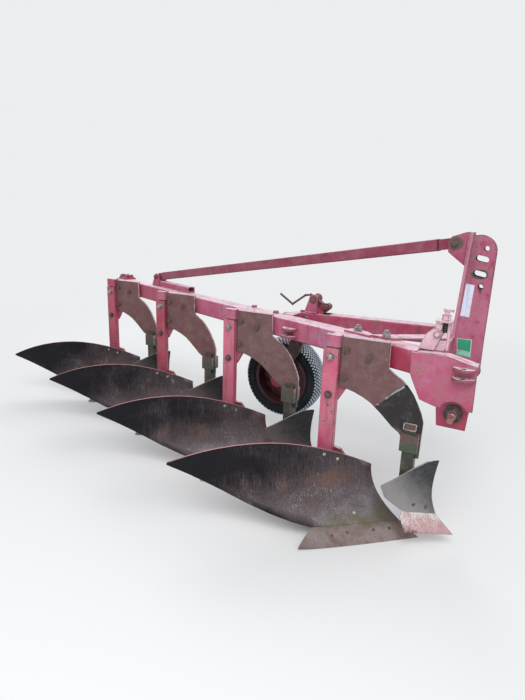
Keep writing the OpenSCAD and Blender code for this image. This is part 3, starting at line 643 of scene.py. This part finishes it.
# rust, grain and scratches only where the mask above marks plate scoured and painted light
scoured_and_lit = level.step(-0.25, 0.2)
rust = (patches(spot, 5.5, 7.0, 0.62, 0.6) + grain * 0.3).step(0.66, 0.84, 0.75)
tone = laid_over(rust * scoured_and_lit, tone, (0.165, 0.088, 0.066))
tone = laid_over(grain.step(0.55, 0.7, 0.38) * scoured_and_lit, tone, film_in["Pale"])
tone = laid_over(grain.step(0.44, 0.32, 0.6), tone, film_in["Dark"])
scratch = patches(stretched(spot, (210.0, 210.0, 24.0)), 1.0, 2.0, 0.5)
scratch = (scratch + patches(spot, 8.0, 2.0, 0.5) * 0.55).step(0.95, 1.01, 0.55)
tone = laid_over(scratch * scoured_and_lit, tone, (0.36, 0.33, 0.31))
tone = laid_over(up.step(0.84, 0.9), tone, film_in["Edge"])
give_out(soil_film, Colour=tone, Roughness=0.44 + mid * 0.3, Height=fine * 0.4 + streak * 0.5)


def soil_worn(name, pale, brown, dark, rim, darkness, over=None):
    return filmed(name, soil_film, (pale, brown, dark, rim, darkness),
                  {"Metallic": 0.1, "Specular IOR Level": 0.18}, (0.35, 0.001), over)


def board_marks(colour):
    """Green film over the seam with the share, a browner band along the shin."""
    spot = spot_of(colour)
    fore = fore_of(spot)
    blot = patches(spot, 14.0, 7.0, 0.7)
    shin = (fore + blot * 0.06).step(0.185, 0.235, 0.55)
    colour = laid_over(shin, colour, (0.06, 0.036, 0.034))
    seam = (axis_of(spot, "Z") - blot * 0.1).step(0.105, 0.03)
    film = seam * fore.step(-0.1, 0.02) * blot.step(0.4, 0.62, 0.75)
    return laid_over(film, colour, (0.12, 0.118, 0.058))


BOARD_TONES = ((0.255, 0.232, 0.244), (0.098, 0.074, 0.08), (0.0085, 0.0075, 0.011),
               (0.44, 0.21, 0.22), 0.06)
board_steel = soil_worn("mouldboard_plate", *BOARD_TONES, over=board_marks)
dark_paint = painted("dark_red_paint", (0.16, 0.018, 0.03), (0.3, 0.07, 0.09),
                     (0.055, 0.028, 0.024), 0.35, 0.55, 0.8)


def smoothed(name, finish, slot):
    """A merged copy of a CAD node's mesh with smooth shading, in the node's place."""
    bm = bmesh.new()
    bm.from_mesh(nodes[name].data)
    bmesh.ops.remove_doubles(bm, verts=bm.verts[:], dist=0.00002)
    piece = settle(name + "_plate", bm, slot, finish, rider=name, crease=38)
    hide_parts(name)


for i in BODIES:
    smoothed(f"mouldboard_{i + 1}", board_steel, "rusty_steel")
    dress(dark_paint, f"frog_{i + 1}")
dress(soil_worn("landside_plate", *BOARD_TONES), "landsides")


def on_board(i, s, z):
    """The board's face, s back from the shin and z high, by the rules of its solid."""
    shin = 35.0 - 270.0 * (1.0 - max(0.0, 1.0 - z / 340.0) ** 2.2)
    base = 42.0 - z / 50.0 if z < 100.0 else 40.0 + (z - 100.0) * 0.01
    turned = math.radians(base - 0.0085 * s * min(1.0, max(0.0, z / 150.0)))
    return on_body(i, shin - s * math.cos(turned), -s * math.sin(turned), z)


def face_normal(face, i, s, z, rise):
    """The outward normal of a face that face(i, s, z) gives, on the furrow side."""
    across = face(i, s + 2, z) - face(i, s - 2, z)
    out = across.cross(face(i, s, z + rise) - face(i, s, z - rise)).normalized()
    return out if out.x > 0 else -out


def bolted(bm, places, sink, across, thick):
    """Flush bolt heads in all four boards or shares."""
    for i in BODIES:
        for s, z in places:
            out = face_normal(on_board, i, s, z, 2)
            turned_disc(bm, on_board(i, s, z) - out * sink, out, across, thick, sides=20)


plough_bolt = steel_finish("plough_bolt_head", (0.5, 0.48, 0.46), (0.2, 0.14, 0.12),
                           (0.1, 0.08, 0.08), 0.3)
board_bolts = bmesh.new()
bolted(board_bolts, ((195, 384), (270, 415), (201, 103)), 0.002, 0.018, 0.003)
settle("board_bolts", board_bolts, "bare_steel", plough_bolt)

# Shares: forged wedges bolted under the boards, dusty brown, with a mossy film
# along the seam and soil on the cutting edge.
def seam_moss(colour):
    spot = spot_of(colour)
    z = axis_of(spot, "Z")
    blot = patches(spot, 12.0, 7.0, 0.7).step(0.38, 0.6, 0.85)
    colour = laid_over(z.step(0.04, 0.072) * blot, colour, (0.105, 0.098, 0.045))
    soiled = patches(spot, 20.0, 6.0, 0.7).step(0.45, 0.62, 0.6)
    return laid_over(z.step(0.036, 0.004) * soiled, colour, (0.16, 0.105, 0.075))


share_steel = soil_worn("share_plate", (0.285, 0.236, 0.232), (0.155, 0.11, 0.104),
                        (0.06, 0.04, 0.038), (0.2, 0.15, 0.13), 0.1, over=seam_moss)
for i in BODIES:
    smoothed(f"share_{i + 1}", share_steel, "worn_steel")
share_bolts = bmesh.new()
bolted(share_bolts, ((95, 34), (185, 34), (330, 34), (420, 30)), 0.0026, 0.019, 0.0032)
settle("share_bolts", share_bolts, "worn_steel", old_bolt)

# Skimmer boards and shares: small polished mouldboards, pale grey below and
# dark towards the upper corner, over narrow shares in flaking pale paint.
def polished(tree):
    """Bright where soil scours the plate, darker towards its wing and its top."""
    spot = spot_of(tree)
    mid = patches(spot, 45.0, 8.0, 0.7)
    scratch = patches(stretched(spot, (40.0, 40.0, 190.0), turn=(0.35, 0, 0)), 1.0)
    level = (0.31 - fore_of(spot)) * 3.3 - (axis_of(spot, "Z") - 0.21) * 2.4 + (
        patches(spot, 9.0, 5.0, 0.6, 0.4) - 0.5) * 0.45
    # only the front one is still bright; soil film has dulled the other three
    front = axis_of(spot, "X").step(1.15, 1.25)
    pale = laid_over(front, (0.15, 0.125, 0.118), (0.275, 0.262, 0.256))
    level = level + (front - 1.0) * 0.12
    tone = laid_over(level.step(-0.3, 0.42), (0.026, 0.029, 0.033), pale)
    for amount, above in ((scratch.step(0.5, 0.72, 0.14), (0.42, 0.4, 0.39)),
                          (mid.step(0.62, 0.78, 0.55), (0.1, 0.06, 0.05)),
                          (facing(tree, "Z").step(0.86, 0.93), (0.4, 0.36, 0.33))):
        tone = laid_over(amount, tone, above)
    return {"Base Color": tone, "Roughness": mid.step(0.4, 0.75, bottom=0.34, top=0.68),
            "Height": scratch}


def flaked(colour):
    spot = spot_of(colour)
    loose = patches(spot, 120.0, 6.0, 0.75) + patches(spot, 13.0, 3.0, 0.5) * 0.4
    loose = loose + (axis_of(spot, "Z") - 0.13) * 2.6
    return laid_over(loose.step(0.66, 0.88, 0.85), colour, (0.8, 0.76, 0.74))


polish = finish_of("skimmer_plate", {"Metallic": 0.2, "Specular IOR Level": 0.3},
                   (0.25, 0.0006), polished)
pink_paint = painted("flaking_pink_paint", (0.43, 0.235, 0.24), (0.55, 0.37, 0.375),
                     (0.26, 0.13, 0.1), 0.45, 0.4, 0.35, 0.3, over=flaked,
                     chalk_and_highlight=(0.66, 0.58, 0.58))
for i in BODIES:
    smoothed(f"skimmer_board_{i + 1}", polish, "bare_steel")
smoothed("skimmer_shares", pink_paint, "pink_paint")
SKIM_Z = [56, 102, 146, 217, 289, 365, 435, 450]
SKIM_X = [213, 163, 116, 88, 82, 88, 99, 101]


def on_skimmer(i, s, z):
    """The skimmer board's face, its front line read between the table's heights."""
    k = max(n for n in range(7) if SKIM_Z[n] <= z)
    share = (z - SKIM_Z[k]) / (SKIM_Z[k + 1] - SKIM_Z[k])
    x = SKIM_X[k] + (SKIM_X[k + 1] - SKIM_X[k]) * share
    turned = math.radians(40 + 0.03 * (z - 60))
    return on_body(i, x - s * math.cos(turned), 15 - s * math.sin(turned), z)


skim_bolts = bmesh.new()
for i in BODIES:
    for s, z in ((109, 210), (44, 187)):
        foot, out = on_skimmer(i, s, z), face_normal(on_skimmer, i, s, z, 4)
        turned_disc(skim_bolts, foot - out * 0.002, out, 0.024, 0.0034, sides=24)
        turned_disc(skim_bolts, foot + out * 0.001, out, 0.012, 0.0016, sides=16)
settle("skimmer_bolts", skim_bolts, "bare_steel", old_bolt)

# Headstock: lower hitch shaft with dark collars and worn stepped pins, each with
# a hole for a linchpin.
SHAFT_X, SHAFT_Z = 139, 726


def off_axis(spot, centre, wide=1.0, high=1.0):
    """Distance from the line along Y through centre, wide and high for an oval mark."""
    shift = (-centre.x * wide, 0.0, -centre.z * high)
    return gauged("LENGTH", stretched(spot, (wide, 0.0, high), shift=shift))


def hitch_tones(colour):
    """Worn reddish pins, ringed by the linkage's eyes; the shaft itself stays dark."""
    spot = spot_of(colour)
    pin = off_axis(spot, at(SHAFT_X, 0, SHAFT_Z)).step(0.0215, 0.0195)
    ring = patches(stretched(spot, (18.0, 260.0, 18.0)), 1.0, 4.0, 0.6).step(0.42, 0.62)
    bright = laid_over(ring, (0.3, 0.135, 0.135), (0.52, 0.34, 0.33))
    return laid_over(pin, colour, bright)


hitch_steel = steel_finish("hitch_shaft_steel", (0.06, 0.052, 0.05), (0.075, 0.045, 0.04),
                           (0.02, 0.019, 0.018), 0.35, over=hitch_tones)
dress(hitch_steel, "hitch_shaft")
collar_rims = bmesh.new()
for y, way in ((-62, -1), (798, 1)):
    for out, across, thick, sides, nip in ((0, 0.07, 0.0035, 40, 0.0012),
                                           (0, 0.052, 0.0065, 40, 0.0012),
                                           (45, 0.0345, 0.004, 36, 0.0022)):
        turned_disc(collar_rims, at(SHAFT_X, y + way * out, SHAFT_Z), (0, way, 0), across,
                    thick, sides, nip)
settle("collar_rims", collar_rims, "bare_steel", hitch_steel)

# Mast: twin plates on a thick leaning web, with slots for the top link. Paint is
# worn to dark metal round the used slot and hole, and off one ear.
WEB_FOOT_X, WEB_FOOT_Z, WEB_LEAN = 58, 997, 0.0493
LINK_Z = 1497


def link_wear_and_web_highlight(colour):
    """A pale strip down the front edge of the web, a painted highlight where it catches the
    light; dark slots worn by the top link and its pins.
    """
    spot = spot_of(colour)
    z = axis_of(spot, "Z")
    blur = (patches(spot, 60.0, 6.0, 0.7) - 0.5) * 0.03
    foot = at(WEB_FOOT_X, 0, WEB_FOOT_Z)
    back = (z - foot.z) * WEB_LEAN + foot.x - axis_of(spot, "X")
    # the pale strip is a painted highlight on the web's front edge
    strip = (back + blur * 0.3).step(0.022, 0.017) * back.step(-0.001, 0.002)
    strip = strip * facing(colour, "Y").step(-0.3, -0.7)
    colour = laid_over(z.step(1.42, 1.12, 0.45), colour, (0.54, 0.17, 0.27))
    colour = laid_over(strip * 0.5, colour, (0.58, 0.29, 0.35))
    blood = patches(spot, 22.0, 6.0, 0.65).step(0.54, 0.66, 0.55)
    colour = laid_over(blood, colour, (0.2, 0.02, 0.035))
    for x, z, wide, high, reach, tone in (
            (137, 1350, 0.78, 1.25, 0.036, (0.045, 0.04, 0.036)),
            (149, 1287, 1.1, 0.9, 0.021, (0.05, 0.032, 0.03)),
            (151, 1264, 2.6, 1.0, 0.016, (0.06, 0.03, 0.03)),
            (6, LINK_Z, 0.9, 1.0, 0.038, (0.1, 0.068, 0.066))):
        mark = off_axis(spot, at(x, 0, z), wide, high) + blur
        colour = laid_over(mark.step(reach, reach - 0.01, 0.92), colour, tone)
    return colour


mast_paint = painted("faded_mast_paint", (0.3, 0.04, 0.098), (0.46, 0.15, 0.24), BROWN_RUST_AND_UNDERSIDE_SHADE,
                     0.4, 0.46, 0.6, over=link_wear_and_web_highlight)
dress(mast_paint, "mast")
mast_welds = bmesh.new()
for y, low, back, width in ((324.6, 1020, 0, 0.006), (411.4, 1020, 0, 0.006),
                            (323, 1392, 18, 0.009), (413, 1392, 18, 0.009)):
    start, end = [at(WEB_FOOT_X + (z - WEB_FOOT_Z) * WEB_LEAN - back, y, z)
                  for z in (low, 1550)]
    weld(mast_welds, start, end, width)
settle("mast_welds", mast_welds, "red_paint", mast_paint)
link_pins = bmesh.new()
for way in (-1, 1):
    y = 368 + way * 52
    turned_disc(link_pins, at(0, y, LINK_Z), (0, way, 0), 0.036, 0.004)
    turned_disc(link_pins, at(0, y + way * 4, LINK_Z), (0, way, 0), 0.024, 0.01)
    cotter = at(0, y + way * 9, LINK_Z)
    turned_disc(link_pins, cotter - Vector((0, 0, 0.026)), UPWARD, 0.0055, 0.052, sides=12)
settle("link_pins", link_pins, "bare_steel", old_bolt)

# Strut and its foot: rectangular tube in darker paint, pinned at both ends to
# forged ends, its foot welded to the beam and the beams joined by bolts.
dress(painted("faded_strut_paint", (0.21, 0.022, 0.055), (0.33, 0.085, 0.145), BROWN_RUST_AND_UNDERSIDE_SHADE,
              0.38, 0.4, 0.4, chalk_and_highlight=(0.46, 0.25, 0.33)), "strut")
dress(red_paint, "strut_foot", "brace_bar")
foot_pins = bmesh.new()
for way in (-1, 1):
    axis = (way * math.sin(SLANT), way * math.cos(SLANT), 0)
    for out, across, thick in ((42, 0.04, 0.004), (46, 0.028, 0.008)):
        turned_disc(foot_pins, on_beam(-2130, 30 + way * out, 1084), axis, across, thick)
settle("foot_pins", foot_pins, "bare_steel", old_bolt)
foot_welds = bmesh.new()
for v in (-2, 62):
    weld(foot_welds, on_beam(-2085, v, 1009), on_beam(-1655, v, 1009), 0.009)
weld(foot_welds, on_beam(-2085, 0, 1050), on_beam(-2085, 60, 1050), 0.008)
settle("foot_welds", foot_welds, "red_paint", red_paint)
brace_nuts = bmesh.new()
for x, y in ((-408, 129), (-241, 80)):
    bolt_head(brace_nuts, at(x, y, 1019), UPWARD, 0.036, 0.02, 0.046, 0.012, 0.024)
settle("brace_nuts", brace_nuts, "bare_steel", zinc)
beam_bolts = bmesh.new()
for x, y in ((-1241, 480), (-1028, 381)):
    bolt_head(beam_bolts, at(x, y, 1007), UPWARD, 0.03, 0.012, 0.04)
for u in (-2720, -2640):
    for v in (28, -28):
        bolt_head(beam_bolts, on_beam(u, v, 1021), UPWARD, 0.03, 0.016, 0.04, 0.006, 0.02)
settle("beam_bolts", beam_bolts, "red_paint", red_paint)

# Front adjuster: two leaning cheeks in bleached paint, a yoke plate, and a hex
# cap on a dark greased spindle.
bleached = painted("bleached_pink_paint", (0.56, 0.25, 0.32), (0.8, 0.57, 0.63), BROWN_RUST_AND_UNDERSIDE_SHADE,
                   0.62, 0.45, 0.45, chalk_and_highlight=(0.84, 0.72, 0.75))
dress(bleached, "adjuster")
cap_parts = bmesh.new()
for y, way, across, thick in ((-22, -1, 0.036, 0.004), (-26, -1, 0.024, 0.01),
                              (58, 1, 0.036, 0.004)):
    turned_disc(cap_parts, at(20, y, 1088), (0, way, 0), across, thick)
settle("adjuster_pin_heads", cap_parts, "red_paint", bleached)
adjuster_thread = bmesh.new()
for k in range(17):
    turned_disc(adjuster_thread, at(47, 18, 1098 + k * 2.7), UPWARD, 0.022, 0.002, sides=20,
                nip=0.0007)
turned_disc(adjuster_thread, at(47, 18, 1092), UPWARD, 0.019, 0.052, sides=20)
spindle_steel = steel_finish("greased_spindle", (0.055, 0.05, 0.048), (0.045, 0.03, 0.025),
                             (0.018, 0.016, 0.015), 0.3)
settle("adjuster_thread", adjuster_thread, "bare_steel", spindle_steel)

# Depth wheel: trunnion plates on the land-side beam, a crank spindle and an arm in dark paint,
# and a small rubber-tyred wheel on a pressed rim; arm and rim darkened as painted shade.
AXLE = at(-1085, 692, 496)
dress(red_paint, "wheel_bracket")


def bare_grip(colour):
    """The crank's far leg, where hands have taken the paint off."""
    grip = axis_of(spot_of(colour), "X").step(0.668, 0.65, 0.9)
    return laid_over(grip, colour, (0.06, 0.052, 0.05))


crank_paint = painted("crank_brown_paint", (0.125, 0.03, 0.034), (0.23, 0.075, 0.082),
                      (0.045, 0.028, 0.024), 0.3, 0.55, 0.7, over=bare_grip,
                      chalk_and_highlight=(0.34, 0.17, 0.18))
dress(crank_paint, "depth_spindle")


def arm_tones(colour):
    """Near black below, dark paint deepened as a painted shade for the arm's shadow; still red
    round the axle and on the lever over the beam.
    """
    spot = spot_of(colour)
    blot = patches(spot, 30.0, 6.0, 0.65).step(0.38, 0.62)
    fresh = laid_over(blot, (0.32, 0.02, 0.04), (0.46, 0.095, 0.135))
    colour = laid_over(axis_of(spot, "Z").step(1.0, 1.02), colour, fresh)
    return laid_over(off_axis(spot, AXLE).step(0.072, 0.062), colour, fresh)


# near-black arm paint, partly its own dark paint, partly a painted shade for the shadow it lies
# in
dress(painted("wheel_arm_paint", (0.034, 0.017, 0.017), (0.068, 0.036, 0.034),
              (0.06, 0.034, 0.026), 0.35, 0.45, 0.6, over=arm_tones,
              chalk_and_highlight=(0.12, 0.085, 0.08)), "wheel_arm")
bracket_bolts = bmesh.new()
for y, way in ((526, -1), (614, 1)):
    turned_disc(bracket_bolts, at(-838, y, 1098), (0, way, 0), 0.056, 0.003)
    turned_disc(bracket_bolts, at(-838, y + way * 3, 1098), (0, way, 0), 0.036, 0.006)
settle("bracket_bolts", bracket_bolts, "red_paint", red_paint)
pivot_head = bmesh.new()
bolt_head(pivot_head, at(-872, 505, 965), FURROWWARD, 0.028, 0.01, 0.036)
settle("pivot_head", pivot_head, "bare_steel", old_bolt)
eye_bolt = bmesh.new()
bolt_head(eye_bolt, at(-754, 540, 1051), FURROWWARD, 0.036, 0.014, 0.056, 0.007, 0.02)
bolt_head(eye_bolt, at(-754, 595, 1051), LANDWARD, 0.036, 0.012, 0.044)
settle("eye_bolt", eye_bolt, "dark_red_paint", crank_paint, rider="wheel_arm")
bracket_welds = bmesh.new()
for y in (525, 538, 601, 614):
    weld(bracket_welds, at(-893, y, 1009), at(-812, y, 1009), 0.008)
settle("bracket_welds", bracket_welds, "red_paint", red_paint)


def lip_painted_shade(colour):
    """The rim's lip, painted near black outside 150 mm from the axle: a painted shade that blends
    it into the tyre.
    """
    spot = spot_of(colour)
    reach = off_axis(spot, AXLE) + patches(spot, 30.0, 6.0, 0.7) * 0.016
    return laid_over(reach.step(0.16, 0.172, 0.75), colour, (0.042, 0.008, 0.017))


# the rim's red is painted dark, a painted shade for the shade the wheel lies in
rim_shaded_paint = painted("rim_red_paint_painted_shade", (0.085, 0.012, 0.022), (0.17, 0.032, 0.05),
                    (0.035, 0.02, 0.02), 0.3, 0.55, 0.85, over=lip_painted_shade,
                    chalk_and_highlight=(0.26, 0.1, 0.13))
dress(rim_shaded_paint, "wheel_rim")


def spun(bm, profile, steps):
    """Spins a profile of (radius, offset along the axle) points round the axle."""
    ring = [bm.verts.new(AXLE + Vector((r / 1000, y / 1000, 0))) for r, y in profile]
    edges = [bm.edges.new(pair) for pair in zip(ring, ring[1:])]
    bmesh.ops.spin(bm, geom=ring + edges, cent=AXLE, axis=(0, 1, 0), dvec=(0, 0, 0),
                   angle=2 * math.pi, steps=steps, use_merge=True, use_duplicate=False)
    bmesh.ops.remove_doubles(bm, verts=bm.verts[:], dist=0.00001)


hub = bmesh.new()
spun(hub, [(26, -80), (52, -80), (60, -77), (60, -69), (55, -66), (46, -64), (44, -56),
           (26, -56)], 48)
spun(hub, [(0, 80), (18, 79), (30, 75), (36, 68), (38, 60), (56, 60)], 48)
bmesh.ops.recalc_face_normals(hub, faces=hub.faces[:])
for k in range(6):
    turned = math.radians(60 * k + 10)
    spoke = Vector((math.cos(turned), 0, math.sin(turned)))
    bolt_head(hub, AXLE + spoke * 0.049 + Vector((0, -0.079, 0)), FURROWWARD, 0.011, 0.006)
    bolt_head(hub, AXLE + spoke * 0.104 + Vector((0, 0.0255, 0)), LANDWARD, 0.019, 0.012,
              0.024, 0.006, 0.012)
hub_paint = painted("hub_red_paint", (0.42, 0.02, 0.04), (0.52, 0.085, 0.11), BROWN_RUST_AND_UNDERSIDE_SHADE,
                    0.3, 0.45, 0.55)
settle("wheel_hub", hub, "red_paint", hub_paint, rider="wheel_rim")
valve = bmesh.new()
turned_disc(valve, AXLE + Vector((0.166, -0.003, 0.0)), (-0.5, -1, 0), 0.009, 0.034, sides=16)
settle("wheel_valve", valve, "bare_steel", old_bolt, rider="wheel_rim")

# Tyre: ribbed carcass with a close lattice of small studs, dusty on top and
# black between them, with short bars on both shoulders.
BARS, STUDS = 56, 72


def rubber_tones(name, base, dust, amount):
    def surface(tree):
        spot = spot_of(tree)
        grit = patches(spot, 170.0, 5.0, 0.7)
        worn = (patches(spot, 11.0, 7.0, 0.65, 0.3) + grit * 0.4).step(0.52, 0.86, amount)
        return {"Base Color": laid_over(worn, base, dust), "Height": grit,
                "Roughness": grit.step(0.3, 0.7, bottom=0.58, top=0.84)}
    return finish_of(name, {"Specular IOR Level": 0.25}, (0.3, 0.0008), surface)


def ring_of(bm, count):
    """Repeats what the bmesh holds in equal turns round Y, and puts it on the axle."""
    bmesh.ops.spin(bm, geom=bm.verts[:] + bm.edges[:] + bm.faces[:], cent=(0, 0, 0),
                   axis=(0, 1, 0), dvec=(0, 0, 0), angle=2 * math.pi * (count - 1) / count,
                   steps=count - 1, use_merge=False, use_duplicate=True)
    bmesh.ops.translate(bm, vec=AXLE, verts=bm.verts[:])


side_rubber = rubber_tones("tyre_sidewall_rubber", (0.007, 0.01, 0.018),
                           (0.03, 0.042, 0.045), 0.7)
stud_rubber = rubber_tones("tyre_stud_rubber", (0.4, 0.48, 0.57), (0.7, 0.76, 0.83), 0.9)
carcass = bmesh.new()
half_profile = [(183.4, 73.4), (199, 73.6), (204, 77.5), (209, 79), (213, 86), (219, 87.5),
                (221, 89.2), (224, 89.2), (226, 88.2), (236, 89.0), (238, 90), (242, 90),
                (244, 88.0), (250, 85.8), (257, 82.0), (264, 77.0), (270, 70.5), (274.6, 62),
                (277.8, 50), (279.4, 36), (280, 20)]
spun(carcass, [(r, -y) for r, y in half_profile] + [(280, 0)] + half_profile[::-1], 96)
bmesh.ops.recalc_face_normals(carcass, faces=carcass.faces[:])
for side in (-1, 1):
    bars = bar((0.2495, side * 0.0862, 0), side * 0.46, "Z", (0.023, 0.0065, 0.0135), 0.0012)
    bmesh.ops.rotate(bars, verts=bars.verts[:], cent=(0, 0, 0), matrix=Matrix.Rotation(
        math.pi / BARS * (side > 0), 3, "Y"))
    ring_of(bars, BARS)
    gather(carcass, bars)
tyre_body = settle("tyre_carcass", carcass, "tyre_rubber", side_rubber, rider="tyre")
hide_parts("tyre")
studs = bmesh.new()
for row, (r, y, lean) in enumerate((
        (264.5, -78.0, 50), (273.5, -66.0, 34), (278.4, -50.0, 15), (280.0, -34.0, 5),
        (280.8, -17.0, 0), (280.8, 0.0, 0), (280.8, 17.0, 0), (280.0, 34.0, -5),
        (278.4, 50.0, -15), (273.5, 66.0, -34), (264.5, 78.0, -50))):
    bmesh.ops.create_cone(
        studs, cap_ends=True, segments=4, radius1=0.009, radius2=0.0074, depth=0.0052,
        matrix=Matrix.Rotation(math.pi / STUDS * (row % 2), 4, "Y")
        @ Matrix.Translation((r / 1000, y / 1000, 0))
        @ Matrix.Rotation(math.radians(-lean), 4, "Z") @ Matrix.Rotation(math.pi / 2, 4, "Y"))
ring_of(studs, STUDS)
settle("tyre_studs", studs, "tyre_rubber", stud_rubber, rider="tyre")

# Blank plates on the mast: a pale one above, and a green one below with a narrow
# strip under it, each a thin plate with a pale border.
PLATE_BACK, PLATE_FRONT, FILM_BACK, FILM_FRONT = 326.9, 325.75, 325.76, 325.45


def flat_prism(bm, corners, back, front, index):
    """A thin flat plate between two distances from the mast, in its own finish."""
    face = bm.faces.new([bm.verts.new(at(x, back, z)) for x, z in corners])
    grown = bmesh.ops.extrude_face_region(bm, geom=[face])["geom"]
    bmesh.ops.translate(bm, vec=(0, (front - back) / 1000, 0),
                        verts=[g for g in grown if isinstance(g, bmesh.types.BMVert)])
    for other in bm.faces:
        if not other.tag:
            other.material_index = index
            other.tag = True


def drawn_in(corners, gap):
    """The same outline, smaller by gap on every side."""
    xs, zs = zip(*corners)
    cx, cz = sum(xs) / len(xs), sum(zs) / len(zs)
    w, h = (max(xs) - min(xs)) / 2, (max(zs) - min(zs)) / 2
    return [(cx + (x - cx) * (1 - gap / w), cz + (z - cz) * (1 - gap / h)) for x, z in corners]


films = [painted(*row, 0.5) for row in (
    ("white_plate_film", (0.6, 0.66, 0.82), (0.72, 0.77, 0.88), (0.4, 0.42, 0.46),
     0.45, 0.0, 0.25),
    ("plate_border_film", (0.62, 0.7, 0.72), (0.74, 0.8, 0.82), (0.4, 0.36, 0.36),
     0.5, 0.25, 0.45),
    ("green_plate_film", (0.012, 0.3, 0.15), (0.035, 0.42, 0.23), (0.05, 0.16, 0.1),
     0.4, 0.1, 0.3),
    ("pale_green_film", (0.16, 0.62, 0.42), (0.3, 0.72, 0.55), (0.1, 0.3, 0.2),
     0.45, 0.15, 0.3))]
WHITE, BORDER, GREEN, MINT = range(4)
plates = bmesh.new()
for shape, gap, index in (
        ([(71, 1130), (116, 1126), (121, 1294), (79, 1299)], 2.2, WHITE),
        ([(77, 947), (148, 941), (145, 1012), (71, 1010)], 3.2, GREEN)):
    flat_prism(plates, shape, PLATE_BACK, PLATE_FRONT, BORDER)
    flat_prism(plates, drawn_in(shape, gap), FILM_BACK, FILM_FRONT, index)
strip = [(79, 922), (150, 916), (148.4, 939), (77.4, 945)]
flat_prism(plates, strip, PLATE_BACK, PLATE_FRONT, MINT)
bmesh.ops.recalc_face_normals(plates, faces=plates.faces[:])
blank_plates = settle("blank_plates", plates, "blank_plate", *films, rider="sign_plates")
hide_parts("sign_plates")
